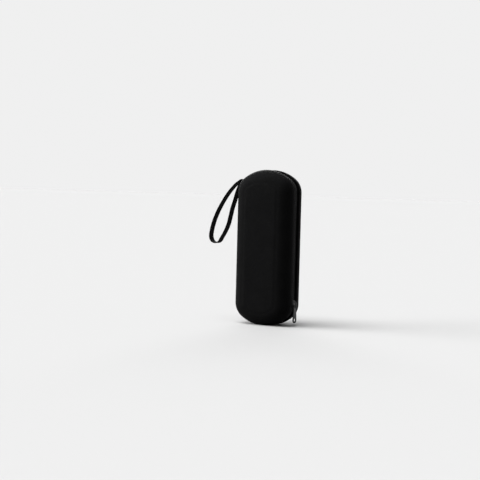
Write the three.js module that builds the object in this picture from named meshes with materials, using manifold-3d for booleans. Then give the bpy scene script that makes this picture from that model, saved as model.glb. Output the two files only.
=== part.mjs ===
// A zipped travel case that keeps insulin pens cool: two moulded shells, a cloth hinge, a zip, gel packs.
// Millimetres. The case stands on its short end: +Z up, the lid faces -Y, the cloth hinge is at -X.
// The origin is the middle of the foot, midway between the halves.
import * as THREE from "three";
import { mergeVertices } from "three/addons/utils/BufferGeometryUtils.js";
import Module from "manifold-3d";

const wasm = await Module();
wasm.setup();

// Driving sizes of the case
const caseHeight = 206;
const caseWidth = 83;
const caseDepth = 50;
const cornerRadius = 24; // corners of the outline, seen from the front
const tipRadius = 54; // the gently arched top and bottom of the outline
const edgeShare = 0.34; // radius of the front and back edges' round, of the depth
const shellWall = 3.2;
const linerWall = 3.5;
const footCut = 1.5; // how much of the arched lower end is pressed flat to stand on
const faceCrown = 0.6; // how far the front and back faces bulge
const crownInset = 21; // where the flat middle of those faces starts
const fit = 0.3; // clearance between pieces that touch or are sewn together
const overlap = 0.5; // how far joined solids reach into each other
const weldDistance = 0.001; // below which two points are one

// Seam between the halves
const seamGap = 12; // between the rims of the two shells
const rimRound = 0.8;
const tapeThickness = 0.7;
const tapeEdge = 0.8; // from the middle of the seam to the edge of a tape
const tapeTuck = 2.2; // how far a tape runs in under the shell's wall
const bindingWidth = 3.4;
const bindingThickness = 1;
const hingeLength = 112;
const hingeOffset = 0.5; // the hinge line lies this far outside the case
const lidOpening = 180; // degrees

// Zip
const toothPitch = 3;
const toothWidth = 1.2;
const toothReach = 0.9; // how far a tooth crosses the middle of the seam
const toothHeight = 1.3;
const cordInner = 1.2; // the teeth grow from a cord between these two distances from the middle
const cordOuter = 3.2;
const stopLength = 3;
const chainClearOfHinge = 8; // from the end of the hinge cloth to the first stop

// Slider, parked on the right side just above the lower corner
const sliderHeight = 29; // of its middle, above the foot
const sliderTravel = 138; // up the straight part of the side
const sliderLength = 11;
const sliderWidth = 8.8;
const sliderPlate = 1.2;
const sliderBackPlate = 0.8;
const sliderBackLength = 8;
const sliderNose = 3; // length of the taper at the narrow end
const sliderNoseShare = 0.55; // width of that end against the other
const flangeThickness = 0.8;
const bailWidth = 2.2;
const bailLength = 7.6;
const bailHeight = 3.4;
const bailWire = 1.1;

// Pull
const pullLength = 23.5; // from its pivot to its lower end
const pullTopWidth = 5.9;
const pullBottomWidth = 9.2;
const pullThickness = 1.4;
const pullBar = 1.4; // the bar that turns in the bail
const pullEyeWidth = 2.9;
const pullEyeLength = 3.1;
const pullHole = 4.6; // diameter of the round hole near the lower end
const pullRim = 2; // metal left below that hole
const pullSwing = 125; // degrees

// Inside
const gelShare = 0.132; // thickness of a gel pack, of the case's depth
const gelSideGap = 4; // from the liner's inner face to the edge of a gel pack
const gelSeal = 4; // width of the welded edge
const gelSealThickness = 1;
const gelRound = 3; // width over which a pack swells to its full thickness
const panelThickness = 1.6;
const bandWidth = 25;
const bandThickness = 1.1;
const bandLoops = 3;
const penDiameter = 15.4;
const loopShare = 0.64; // height inside a loop, of the room between the panel and the lid's gel pack
const bandFoot = 3.6; // sewn flat between loops
const bandHeightShares = [0.3, 0.69]; // places of the two bands up the case
const netThickness = 0.6;
const netMargin = 8; // solid edge round the net
const netBar = 1.8;
const netCellWidth = 11;
const netCellHeight = 12;
const elasticWidth = 8;
const elasticThickness = 0.9;

// Wrist strap
const strapWidth = 10.5;
const strapThickness = 1.1;
const strapAngle = 36; // degrees up the upper left corner, where the strap is sewn in
const strapDepth = 4.6; // of the sewn-in end, behind the middle of the seam
const tabStandOut = 2; // straight stretch of the sewn-in end outside the seam
const tabLean = 3.5; // from there to its end, sideways
const tabRise = 0.4; // and upwards
const tabForward = 1.2; // and forwards
const strapGap = 0.9; // from the sewn-in end to the loop
const strapReach = 48; // from the tab to the far side of the loop
const strapDrop = 87.6; // from the tab to the lowest point of the loop
const strapForward = 2.9; // how far the loop hangs in front of the tab
const strapForwardShare = 0.15; // of the loop's length, in which it comes forward
const strapSwing = 120; // degrees
const strapTurnShare = 0.3; // of the sewn-in end's length, before it starts to turn
// The loop's route as shares of strapReach and strapDrop: down the outer run and up the inner one.
const strapRouteShares = [
  [0, 0], [0.04, 0.004], [0.11, 0.033], [0.216, 0.08], [0.424, 0.202], [0.59, 0.326],
  [0.727, 0.448], [0.842, 0.571], [0.93, 0.694], [0.99, 0.826], [1, 0.913], [0.94, 0.976],
  [0.818, 1], [0.707, 0.976], [0.646, 0.924], [0.525, 0.817], [0.424, 0.694], [0.364, 0.571],
  [0.309, 0.448], [0.232, 0.326], [0.162, 0.2], [0.1, 0.1], [0.05, 0.028], [0, 0.0155],
];

// Steps of the round forms
const cornerSteps = 5;
const tipSteps = 10;
const edgeSteps = 6;
const softSteps = 8;
const strapSteps = 48;
const plateSteps = 4;

// Sizes that follow from those above
const halfWidth = caseWidth / 2;
const halfDepth = caseDepth / 2;
const halfSeam = seamGap / 2;
const edgeRadius = caseDepth * edgeShare;
const cornerX = halfWidth - cornerRadius;
const cornerTurn = Math.acos(cornerX / (tipRadius - cornerRadius)); // angle that a corner turns through
const tipBack = (tipRadius - cornerRadius) * Math.sin(cornerTurn); // from a corner's centre back to the tip's
const endHeight = tipRadius - tipBack; // of an arched end, above the straight sides
const lowZ = endHeight - footCut; // heights of the corners' centres
const highZ = caseHeight - endHeight;
const middleZ = (lowZ + highZ) / 2;
const straightSide = highZ - lowZ;
const cornerLength = cornerTurn * cornerRadius;
const tipLength = (Math.PI - 2 * cornerTurn) * tipRadius;
const perimeter = 2 * straightSide + 4 * cornerLength + 2 * tipLength;
const edgeStart = halfDepth - edgeRadius; // depth at which the edge round starts
const tapeInset = shellWall + fit;
const tapeReach = halfSeam + tapeTuck;
const linerRim = tapeReach + fit;
const toothInset = tapeInset - fit - toothHeight;
const bindingInset = tapeInset + tapeThickness + fit;
const hingeX = -halfWidth - hingeOffset;

// Stretches of the outline, from the middle of the hinge side upwards and round the case.
const corner = (x, z, start) => (
  { length: cornerLength, centre: [x, z], radius: cornerRadius, start, steps: cornerSteps });
const tip = (z, start) => ({ length: tipLength, centre: [0, z], radius: tipRadius, start, steps: tipSteps });
const stretches = [
  { length: straightSide / 2, from: [-halfWidth, middleZ], along: [0, 1], out: [-1, 0], steps: 1 },
  corner(-cornerX, highZ, Math.PI),
  tip(highZ - tipBack, Math.PI - cornerTurn),
  corner(cornerX, highZ, cornerTurn),
  { length: straightSide, from: [halfWidth, highZ], along: [0, -1], out: [1, 0], steps: 1 },
  corner(cornerX, lowZ, 0),
  tip(lowZ + tipBack, -cornerTurn),
  corner(-cornerX, lowZ, cornerTurn - Math.PI),
  { length: straightSide / 2, from: [-halfWidth, lowZ], along: [0, 1], out: [-1, 0], steps: 1 },
];

// The point of the outline at a distance along it, moved in by an inset, with the outward direction there.
function outlineAt(distance, inset) {
  let left = distance;
  let k = 0;
  while (k < stretches.length - 1 && left > stretches[k].length) {
    left -= stretches[k].length;
    k += 1;
  }
  const part = stretches[k];
  if (part.centre) {
    const angle = part.start - left / part.radius;
    const out = [Math.cos(angle), Math.sin(angle)];
    const radius = part.radius - inset;
    return { x: part.centre[0] + radius * out[0], z: part.centre[1] + radius * out[1], out };
  }
  const x = part.from[0] + part.along[0] * left - part.out[0] * inset;
  const z = part.from[1] + part.along[1] * left - part.out[1] * inset;
  return { x, z, out: part.out };
}

// Distances along the outline at which a form needs a ring: its ends and the corners' steps between.
function stations(from, to) {
  const found = [from];
  let start = 0;
  for (const part of stretches) {
    for (let i = 0; i < part.steps; i += 1) {
      const at = start + (part.length * i) / part.steps;
      if (at > from + fit && at < to - fit) found.push(at);
    }
    start += part.length;
  }
  return [...found, to];
}

// A closed surface through rings of equal point counts, with a flat fan over each end, faces outwards.
function loft(rings) {
  const count = rings[0].length;
  const middle = (ring) => {
    const sum = ring.reduce((total, p) => total.add(p), new THREE.Vector3());
    return sum.divideScalar(count);
  };
  const points = [...rings.flat(), middle(rings[0]), middle(rings.at(-1))];
  const faces = [];
  for (let r = 0; r < rings.length - 1; r += 1) {
    for (let i = 0; i < count; i += 1) {
      const a = r * count + i;
      const b = r * count + ((i + 1) % count);
      faces.push(a, b, a + count, b, b + count, a + count);
    }
  }
  const last = (rings.length - 1) * count;
  const firstMiddle = points.length - 2;
  for (let i = 0; i < count; i += 1) {
    const next = (i + 1) % count;
    faces.push(firstMiddle, next, i, firstMiddle + 1, last + i, last + next);
  }
  return facingOut(points, faces);
}

function facingOut(points, faces) {
  let volume = 0;
  for (let i = 0; i < faces.length; i += 3) {
    const [a, b, c] = [points[faces[i]], points[faces[i + 1]], points[faces[i + 2]]];
    volume += a.dot(b.clone().cross(c));
  }
  const index = volume < 0 ? faces.toReversed() : faces;
  const geometry = new THREE.BufferGeometry().setFromPoints(points);
  geometry.setIndex(index);
  return geometry;
}

// Booleans by manifold-3d on three.js geometry.
function solid(geometry) {
  const bare = geometry.clone();
  bare.deleteAttribute("normal");
  bare.deleteAttribute("uv");
  const merged = mergeVertices(bare);
  const vertProperties = merged.attributes.position.array;
  const triVerts = new Uint32Array(merged.index.array);
  return new wasm.Manifold(new wasm.Mesh({ numProp: 3, vertProperties, triVerts }));
}

function geometryOf(manifold) {
  const mesh = manifold.getMesh();
  const geometry = new THREE.BufferGeometry();
  geometry.setAttribute("position", new THREE.BufferAttribute(mesh.vertProperties, mesh.numProp));
  geometry.setIndex(new THREE.BufferAttribute(mesh.triVerts, 1));
  return geometry;
}

// A closed ring of the outline at an inset and a depth. What would hang below the foot is pressed flat.
function ring(inset, depth) {
  return stations(0, perimeter)
    .slice(0, -1)
    .map((at) => {
      const p = outlineAt(at, inset);
      return new THREE.Vector3(p.x, depth, Math.max(p.z, 0));
    });
}

// Insets and depths of one wall surface of a half, from its rim to the start of its flat floor.
function wallProfile(inset, rimDepth, side) {
  const radius = edgeRadius - inset;
  const first = Math.asin(Math.max(rimDepth - edgeStart, 0) / radius);
  const profile = rimDepth < edgeStart ? [[inset, rimDepth]] : [];
  for (let i = 0; i <= edgeSteps; i += 1) {
    const angle = first + ((Math.PI / 2 - first) * i) / edgeSteps;
    profile.push([inset + radius * (1 - Math.cos(angle)), edgeStart + radius * Math.sin(angle)]);
  }
  return profile.map(([i, y]) => ring(i, side * y));
}

// An open-fronted tray: the shell of one half, or its liner.
function tray(outerInset, wall, rimDepth, side, round, crown) {
  const inner = wallProfile(outerInset + wall, rimDepth, side);
  const outer = wallProfile(outerInset, rimDepth + round, side);
  if (round > 0) outer.unshift(ring(outerInset + round, side * rimDepth));
  if (crown > 0) outer.push(ring(crownInset, side * (halfDepth + crown)));
  return loft([...inner.toReversed(), ...outer]);
}

// A strip that follows the outline between two distances, with a rectangular section.
function strip(from, to, inset, thickness, nearDepth, farDepth, side) {
  const section = (at) => {
    const low = outlineAt(at, inset);
    const high = outlineAt(at, inset + thickness);
    return [
      new THREE.Vector3(low.x, side * nearDepth, low.z),
      new THREE.Vector3(low.x, side * farDepth, low.z),
      new THREE.Vector3(high.x, side * farDepth, high.z),
      new THREE.Vector3(high.x, side * nearDepth, high.z),
    ];
  };
  return loft(stations(from, to).map(section));
}

// A row of teeth on its cord. The near edge of the cord's section steps out at each tooth.
function teethRow(from, to, phase, side) {
  const gap = toothPitch - toothWidth;
  const count = Math.floor((to - from - toothPitch) / toothPitch);
  const teeth = Array.from({ length: count }, (_, k) => from + toothPitch * (k + phase) + gap / 2);
  const near = (at) => teeth.some((t) => at > t - gap / 4 && at < t + toothWidth + gap / 4);
  const bare = stations(from, to).filter((at) => !near(at));
  const stops = [...bare, ...teeth.flatMap((t) => [t, t + toothWidth])].sort((p, q) => p - q);
  const corners = [];
  const quad = (...square) => corners.push(...[0, 1, 2, 0, 2, 3].map((i) => square[i]));
  const point = (at, depth, deep) => {
    const p = outlineAt(at, toothInset + (deep ? toothHeight : 0));
    return new THREE.Vector3(p.x, side * depth, p.z);
  };
  // Walls of one stretch between two depths: its two faces, and the walls that are asked for.
  const block = (a, b, back, front, walls) => {
    quad(point(a, back, 0), point(b, back, 0), point(b, front, 0), point(a, front, 0));
    quad(point(a, front, 1), point(b, front, 1), point(b, back, 1), point(a, back, 1));
    if (walls.back) quad(point(b, back, 0), point(a, back, 0), point(a, back, 1), point(b, back, 1));
    if (walls.front) quad(point(a, front, 0), point(b, front, 0), point(b, front, 1), point(a, front, 1));
    if (walls.first) quad(point(a, back, 0), point(a, front, 0), point(a, front, 1), point(a, back, 1));
    if (walls.last) quad(point(b, front, 0), point(b, back, 0), point(b, back, 1), point(b, front, 1));
  };
  for (let i = 0; i < stops.length - 1; i += 1) {
    const [a, b] = [stops[i], stops[i + 1]];
    const tooth = teeth.includes(a);
    const ends = { first: i === 0, last: i === stops.length - 2 };
    block(a, b, cordOuter, cordInner, { back: true, front: !tooth, ...ends });
    if (tooth) block(a, b, cordInner, -toothReach, { front: true, first: true, last: true });
  }
  const geometry = new THREE.BufferGeometry().setFromPoints(corners);
  const merged = mergeVertices(geometry, weldDistance);
  return facingOut(
    Array.from({ length: merged.attributes.position.count }, (_, i) =>
      new THREE.Vector3().fromBufferAttribute(merged.attributes.position, i)),
    [...merged.index.array],
  );
}

// Metal and cloth pieces of the case
const materials = {
  cloth: new THREE.MeshStandardMaterial({ color: "#17171a", roughness: 0.85 }),
  foil: new THREE.MeshStandardMaterial({ color: "#b9bcc0", roughness: 0.35, metalness: 0.8 }),
  tape: new THREE.MeshStandardMaterial({ color: "#0e0e10", roughness: 0.9 }),
  teeth: new THREE.MeshStandardMaterial({ color: "#1c1c1e", roughness: 0.45 }),
  metal: new THREE.MeshStandardMaterial({ color: "#202022", roughness: 0.35, metalness: 0.9 }),
  gel: new THREE.MeshStandardMaterial({ color: "#7fb4d8", roughness: 0.3 }),
  lining: new THREE.MeshStandardMaterial({ color: "#3a3c40", roughness: 0.9 }),
  elastic: new THREE.MeshStandardMaterial({ color: "#141416", roughness: 0.8 }),
  net: new THREE.MeshStandardMaterial({ color: "#1a1a1c", roughness: 0.8 }),
};

const travelCase = new THREE.Group();

function add(name, geometry, material, place = new THREE.Vector3()) {
  const mesh = new THREE.Mesh(geometry, material);
  mesh.name = name;
  mesh.position.copy(place);
  travelCase.add(mesh);
  return mesh;
}

// The inset of the liner's inner face at a depth, with the clearance of a piece that fits inside it.
const linerInset = tapeInset + linerWall;
function insideLiner(depth) {
  const radius = edgeRadius - linerInset;
  const past = Math.max(depth - edgeStart, 0);
  return linerInset + radius - Math.sqrt(radius * radius - past * past) + fit;
}

// Depths of the layers inside each half, from its floor towards the seam
const gelThickness = caseDepth * gelShare;
const floorDepth = halfDepth - linerInset;
const gelBack = floorDepth - fit;
const gelFront = gelBack - gelThickness;
const panelBack = gelFront - fit;
const panelFront = panelBack - panelThickness;
const netFront = panelBack - netThickness;
const loopHeight = (panelFront + gelFront) * loopShare;

// Shells, liners, bindings and zip tapes, alike in both halves
const tapeStart = hingeLength / 2 + fit;
const tapeEnd = perimeter - tapeStart;
const stopStart = hingeLength / 2 + chainClearOfHinge;
const chainStart = stopStart + stopLength + fit;
const chainEnd = perimeter - chainStart;

function buildHalf(name, side, phase) {
  add(`${name}_shell`, tray(0, shellWall, halfSeam, side, rimRound, faceCrown), materials.cloth);
  add(`${name}_liner`, tray(tapeInset, linerWall, linerRim, side, 0, 0), materials.foil);
  const bindingNear = tapeReach - bindingWidth;
  const binding = strip(fit, perimeter - fit, bindingInset, bindingThickness, bindingNear, tapeReach, side);
  add(`${name}_edge_binding`, binding, materials.tape);
  const tape = strip(tapeStart, tapeEnd, tapeInset, tapeThickness, tapeEdge, tapeReach, side);
  add(`${name}_zip_tape`, tape, materials.tape);
  add(`${name}_zip_teeth`, teethRow(chainStart, chainEnd, phase, side), materials.teeth);
  const stop = (at) => strip(at, at + stopLength, toothInset, toothHeight, cordInner, cordOuter, side);
  add(`${name}_stop_top`, stop(stopStart), materials.metal);
  add(`${name}_stop_bottom`, stop(perimeter - stopStart - stopLength), materials.metal);
  add(`${name}_gel_pack`, gelPack(side), materials.gel);
}

// A film pouch full of gel: a welded flat edge round a body that swells to the pack's thickness.
function gelPack(side) {
  const middle = (gelBack + gelFront) / 2;
  const edge = linerInset + gelSideGap;
  const profile = [
    [edge + gelSeal + 2 * gelRound, gelThickness / 2],
    [edge + gelSeal + gelRound, gelThickness / 2],
    [edge + gelSeal + gelRound / 3, gelThickness / 3],
    [edge + gelSeal, gelSealThickness / 2],
    [edge, gelSealThickness / 2],
  ];
  const front = profile.map(([inset, half]) => ring(inset, side * (middle - half)));
  const back = profile.map(([inset, half]) => ring(inset, side * (middle + half)));
  return loft([...front, ...back.toReversed()]);
}

buildHalf("rear", 1, 0);
buildHalf("front", -1, 0.5);

const hingeCloth = new THREE.BoxGeometry(tapeThickness, 2 * tapeReach, hingeLength);
const hingePlace = new THREE.Vector3(-halfWidth + tapeInset + tapeThickness / 2, 0, middleZ);
add("hinge_cloth", hingeCloth, materials.tape, hingePlace);

// Divider with two bands, each sewn down between its loops
const panelInset = insideLiner(panelBack);
add("pen_panel", loft([ring(panelInset, panelFront), ring(panelInset, panelBack)]), materials.lining);

const loopPitch = penDiameter + 2 * bandThickness + bandFoot;
const bandSpan = bandLoops * loopPitch + bandFoot;

// The band's section: feet on the line y = 0, loops with round tops towards +y.
function bandShape() {
  const legs = loopHeight - penDiameter / 2;
  const inner = penDiameter / 2;
  const outer = inner + bandThickness;
  const shape = new THREE.Shape();
  shape.moveTo(-bandSpan / 2, 0);
  const centres = Array.from({ length: bandLoops }, (_, k) => (k - (bandLoops - 1) / 2) * loopPitch);
  for (const x of centres) {
    shape.lineTo(x - inner, 0);
    shape.absarc(x, legs, inner, Math.PI, 0, true);
    shape.lineTo(x + inner, 0);
  }
  shape.lineTo(bandSpan / 2, 0);
  shape.lineTo(bandSpan / 2, bandThickness);
  for (const x of centres.toReversed()) {
    shape.lineTo(x + outer, bandThickness);
    shape.absarc(x, legs, outer, 0, Math.PI, false);
    shape.lineTo(x - outer, bandThickness);
  }
  shape.lineTo(-bandSpan / 2, bandThickness);
  return shape;
}

["lower", "upper"].forEach((name, k) => {
  const band = new THREE.ExtrudeGeometry(bandShape(), {
    depth: bandWidth,
    bevelEnabled: false,
    curveSegments: softSteps,
  });
  band.rotateZ(Math.PI);
  const low = caseHeight * bandHeightShares[k] - bandWidth / 2;
  add(`${name}_pen_band`, band, materials.elastic, new THREE.Vector3(0, panelFront - fit, low));
});

// Net pocket over the front gel pack: staggered diamond gaps, and an elastic edge along its open top
function insetOf(x, z) {
  const side = Math.abs(x);
  const past = Math.abs(z - middleZ) - straightSide / 2;
  if (past <= 0) return halfWidth - side;
  if (Math.atan2(past, side - cornerX) <= cornerTurn) return cornerRadius - Math.hypot(side - cornerX, past);
  return tipRadius - Math.hypot(side, past + tipBack);
}

// Centres of the gaps whose corners all lie inside the net's solid edge.
function netGaps(inset, top) {
  const found = [];
  const across = Math.ceil(halfWidth / netCellWidth);
  const upwards = Math.ceil(caseHeight / netCellHeight);
  for (let row = -upwards; row <= upwards; row += 1) {
    for (let column = -across; column <= across; column += 1) {
      const x = (column + (row % 2 ? 1 / 2 : 0)) * netCellWidth;
      const z = middleZ + (row * netCellHeight) / 2;
      const tips = [[-1, 0], [1, 0], [0, -1], [0, 1]];
      const inside = ([u, v]) => insetOf(x + (u * netCellWidth) / 2, z + (v * netCellHeight) / 2) > inset;
      if (tips.every(inside) && z + netCellHeight / 2 < top) found.push([x, z]);
    }
  }
  return found;
}

const netInset = insideLiner(panelBack);
const netBack = -netFront - netThickness;
const netTop = highZ;
const netSheet = solid(loft([ring(netInset, -netFront), ring(netInset, netBack)]));
const cutEnds = [-netFront + overlap, netBack - overlap];
const aboveNet = loft(cutEnds.map((y) => [
  new THREE.Vector3(-caseWidth, y, netTop), new THREE.Vector3(caseWidth, y, netTop),
  new THREE.Vector3(caseWidth, y, caseHeight), new THREE.Vector3(-caseWidth, y, caseHeight),
]));
const gapCuts = netGaps(netInset + netMargin, netTop - netMargin).map(([x, z]) => {
  const across = (netCellWidth - netBar) / 2;
  const up = (netCellHeight - netBar) / 2;
  const tips = [[x - across, z], [x, z + up], [x + across, z], [x, z - up]];
  return loft(cutEnds.map((y) => tips.map(([u, v]) => new THREE.Vector3(u, y, v))));
});
const net = [aboveNet, ...gapCuts].reduce((sheet, cut) => sheet.subtract(solid(cut)), netSheet);
add("pocket_net", geometryOf(net), materials.net);

const elasticSpan = 2 * (halfWidth - netInset);
const elastic = new THREE.BoxGeometry(elasticSpan, elasticThickness, elasticWidth);
const elasticPlace = new THREE.Vector3(0, -netFront + fit + elasticThickness / 2, netTop - elasticWidth / 2);
add("pocket_elastic", elastic, materials.elastic, elasticPlace);

// Slider: plates over and under the tapes, a bail, and the pull that turns in it
const plateFace = halfWidth - toothInset + fit + sliderPlate;

function sliderPlan(length) {
  const half = sliderWidth / 2;
  const low = -length / 2;
  const high = length / 2;
  const nose = half * sliderNoseShare;
  const shape = new THREE.Shape();
  shape.moveTo(-half, low + sliderNose / 2);
  shape.quadraticCurveTo(-half, low, -half + sliderNose / 2, low);
  shape.lineTo(half - sliderNose / 2, low);
  shape.quadraticCurveTo(half, low, half, low + sliderNose / 2);
  shape.lineTo(half, high - sliderNose);
  shape.quadraticCurveTo(half, high, nose, high);
  shape.lineTo(-nose, high);
  shape.quadraticCurveTo(-half, high, -half, high - sliderNose);
  return shape;
}

const axisX = new THREE.Vector3(1, 0, 0);
const axisY = new THREE.Vector3(0, 1, 0);
const axisZ = new THREE.Vector3(0, 0, 1);

// A flat plate drawn in Y and Z, with its lower face at x = 0.
function plate(shape, thickness) {
  const settings = { depth: thickness, bevelEnabled: false, curveSegments: plateSteps };
  const basis = new THREE.Matrix4().makeBasis(axisY, axisZ, axisX);
  return new THREE.ExtrudeGeometry(shape, settings).applyMatrix4(basis);
}

const topPlate = plate(sliderPlan(sliderLength), sliderPlate);
const flangeDepth = tapeInset - fit - (halfWidth - plateFace + sliderPlate);
const flange = new THREE.BoxGeometry(flangeDepth + overlap, flangeThickness, sliderLength - sliderNose);
flange.translate(-(flangeDepth - overlap) / 2, cordOuter + fit + flangeThickness / 2, -sliderNose / 2);
const topPlace = new THREE.Vector3(plateFace - sliderPlate, 0, sliderHeight);
const topSolid = solid(topPlate).add(solid(flange));
add("slider_top_plate", geometryOf(topSolid), materials.metal, topPlace);

// The back plate stands off the tape by as much as the tape curves in at the plate's lower end.
const tapeCurve = cornerRadius - tapeInset - tapeThickness;
const plateLow = sliderHeight - sliderBackLength / 2;
const curveIn = tapeCurve - Math.sqrt(tapeCurve ** 2 - Math.max(lowZ - plateLow, 0) ** 2);
const backPlace = new THREE.Vector3(halfWidth - bindingInset - curveIn - sliderBackPlate, 0, sliderHeight);
add("slider_back_plate", plate(sliderPlan(sliderBackLength), sliderBackPlate), materials.metal, backPlace);

// The bail: an arch along the slider with a window for the pull's bar
const bailShape = new THREE.Shape();
const bailHalf = bailLength / 2;
bailShape.moveTo(-bailHalf, 0);
bailShape.lineTo(-bailHalf, bailHeight - bailWire);
bailShape.quadraticCurveTo(-bailHalf, bailHeight, -bailHalf + bailWire, bailHeight);
bailShape.lineTo(bailHalf - bailWire, bailHeight);
bailShape.quadraticCurveTo(bailHalf, bailHeight, bailHalf, bailHeight - bailWire);
bailShape.lineTo(bailHalf, 0);
bailShape.lineTo(bailHalf - bailWire, 0);
bailShape.lineTo(bailHalf - bailWire, bailHeight - bailWire);
bailShape.lineTo(bailWire - bailHalf, bailHeight - bailWire);
bailShape.lineTo(bailWire - bailHalf, 0);
const bailSettings = { depth: bailWidth, bevelEnabled: false, curveSegments: plateSteps };
const bail = new THREE.ExtrudeGeometry(bailShape, bailSettings);
bail.translate(0, 0, -bailWidth / 2);
bail.applyMatrix4(new THREE.Matrix4().makeBasis(axisZ, axisX, axisY));
add("slider_bail", bail, materials.metal, new THREE.Vector3(plateFace + fit, 0, sliderHeight));

// The pull: a bar that turns in the bail, two cheeks round it, and a blade that widens to a round hole
const pullPivot = new THREE.Vector3(
  plateFace + fit + (bailHeight - bailWire) / 2,
  0,
  sliderHeight - bailHalf + bailWire + pullBar,
);

function pullShape() {
  const top = pullTopWidth / 2;
  const bottom = pullBottomWidth / 2;
  const middle = bottom - pullLength;
  const shape = new THREE.Shape();
  shape.moveTo(-top, pullBar / 2 - pullTopWidth / 4);
  shape.quadraticCurveTo(-top, pullBar / 2, -top + pullTopWidth / 4, pullBar / 2);
  shape.lineTo(top - pullTopWidth / 4, pullBar / 2);
  shape.quadraticCurveTo(top, pullBar / 2, top, pullBar / 2 - pullTopWidth / 4);
  shape.lineTo(bottom, middle);
  shape.absarc(0, middle, bottom, 0, -Math.PI, true);
  return shape;
}

function eyeShape() {
  const half = pullEyeWidth / 2;
  const top = -pullBar / 2;
  const points = [[-half, top], [half, top], [half, top - pullEyeLength], [-half, top - pullEyeLength]];
  return new THREE.Shape(points.map(([u, v]) => new THREE.Vector2(u, v)));
}

function holeShape() {
  const shape = new THREE.Shape();
  shape.absarc(0, pullRim + pullHole / 2 - pullLength, pullHole / 2, 0, 2 * Math.PI, false);
  return shape;
}

const pullCuts = [eyeShape(), holeShape()].map((shape) => {
  const cut = plate(shape, pullThickness + 2 * overlap);
  cut.translate(-overlap, 0, 0);
  return solid(cut);
});
const pull = pullCuts.reduce((blade, cut) => blade.subtract(cut), solid(plate(pullShape(), pullThickness)));
const pullPlace = pullPivot.clone().setX(pullPivot.x - pullThickness / 2);
add("zip_pull", geometryOf(pull), materials.metal, pullPlace);

// Wrist strap: a sewn-in end that turns from lying along the seam to lying across it, and the loop
const strapAt = straightSide / 2 + THREE.MathUtils.degToRad(strapAngle) * cornerRadius;
const onTape = outlineAt(strapAt, tapeInset - fit);
const outside = outlineAt(strapAt, -tabStandOut);
const strapPivot = new THREE.Vector3(outside.x - tabLean, strapDepth - tabForward, outside.z + tabRise);
const alongSeam = new THREE.Vector3(onTape.out[1], 0, -onTape.out[0]);
const acrossSeam = new THREE.Vector3(0, 1, 0);

// A flat band along a curve. Its width turns from one direction to another by the share that a rule gives.
function band(curve, steps, width, thickness, turnAt) {
  const sections = [];
  for (let i = 0; i <= steps; i += 1) {
    const middle = curve.getPointAt(i / steps);
    const along = curve.getTangentAt(i / steps);
    const wide = alongSeam.clone().lerp(acrossSeam, turnAt(i / steps));
    wide.addScaledVector(along, -wide.dot(along)).setLength(width / 2);
    const thick = new THREE.Vector3().crossVectors(along, wide).setLength(thickness / 2);
    const corners = [[1, 1], [-1, 1], [-1, -1], [1, -1]];
    sections.push(corners.map(([u, v]) =>
      middle.clone().addScaledVector(wide, u).addScaledVector(thick, v)));
  }
  return loft(sections);
}

const tabCurve = new THREE.CatmullRomCurve3([
  new THREE.Vector3(onTape.x, strapDepth, onTape.z),
  new THREE.Vector3(outside.x, strapDepth, outside.z),
  strapPivot,
]);
const tabThickness = 2 * strapThickness;
const tabTurn = (share) => THREE.MathUtils.smoothstep(share, strapTurnShare, 1);
add("strap_tab", band(tabCurve, softSteps, strapWidth, tabThickness, tabTurn), materials.elastic);

const strapLayer = strapRouteShares.at(-1)[1] * strapDrop; // between the two runs where they meet the tab
const strapCurve = new THREE.CatmullRomCurve3(strapRouteShares.map(([out, down], k) => {
  const share = k / (strapRouteShares.length - 1);
  const forward = THREE.MathUtils.smoothstep(Math.min(share, 1 - share), 0, strapForwardShare) * strapForward;
  const start = tabCurve.getTangentAt(1).multiplyScalar(strapGap).add(strapPivot);
  const top = start.z + strapLayer / 2;
  return new THREE.Vector3(start.x - out * strapReach, start.y - forward, top - down * strapDrop);
}));
add("wrist_strap", band(strapCurve, strapSteps, strapWidth, strapThickness, () => 1), materials.elastic);

// What moves, and about or along which line
travelCase.userData.joints = {
  lidHinge: { at: [hingeX, 0, middleZ], axis: [0, 0, -1], degrees: [0, lidOpening] },
  sliderTravel: { axis: [0, 0, 1], millimetres: [0, sliderTravel] },
  pullSwing: { at: pullPivot.toArray(), axis: [0, -1, 0], degrees: [0, pullSwing] },
  strapSwing: { at: strapPivot.toArray(), axis: [0, 1, 0], degrees: [0, strapSwing] },
};

export default travelCase;
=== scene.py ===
"""A zipped cooling case for insulin pens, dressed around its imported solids.

Everything is in metres, in the frame of the solids: +Z up, the lid faces -Y, the cloth hinge is at -X.
"""

import math
from collections import namedtuple
from functools import cache
from itertools import accumulate, groupby, pairwise

import bmesh
import bpy
from mathutils import Matrix, Vector, noise


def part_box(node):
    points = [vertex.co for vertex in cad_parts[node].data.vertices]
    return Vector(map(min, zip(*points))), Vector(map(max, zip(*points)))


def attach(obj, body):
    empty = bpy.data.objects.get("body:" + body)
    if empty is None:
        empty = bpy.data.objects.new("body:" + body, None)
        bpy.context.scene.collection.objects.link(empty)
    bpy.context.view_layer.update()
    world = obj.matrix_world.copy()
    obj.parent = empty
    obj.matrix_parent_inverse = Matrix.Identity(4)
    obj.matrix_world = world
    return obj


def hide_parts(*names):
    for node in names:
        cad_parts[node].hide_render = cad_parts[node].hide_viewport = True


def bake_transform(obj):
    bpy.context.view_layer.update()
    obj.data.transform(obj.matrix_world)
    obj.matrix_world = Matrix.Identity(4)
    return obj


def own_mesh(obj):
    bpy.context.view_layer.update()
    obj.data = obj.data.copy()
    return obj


bl_info = {
    "name": "Insulin cooling case",
    "version": (1, 0, 0),
    "blender": (4, 5, 0),
    "location": "View3D > Sidebar > Cooling case",
    "description": "Builds a zipped travel case with gel packs, pen bands and a wrist strap",
    "category": "Add Mesh",
}

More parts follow.
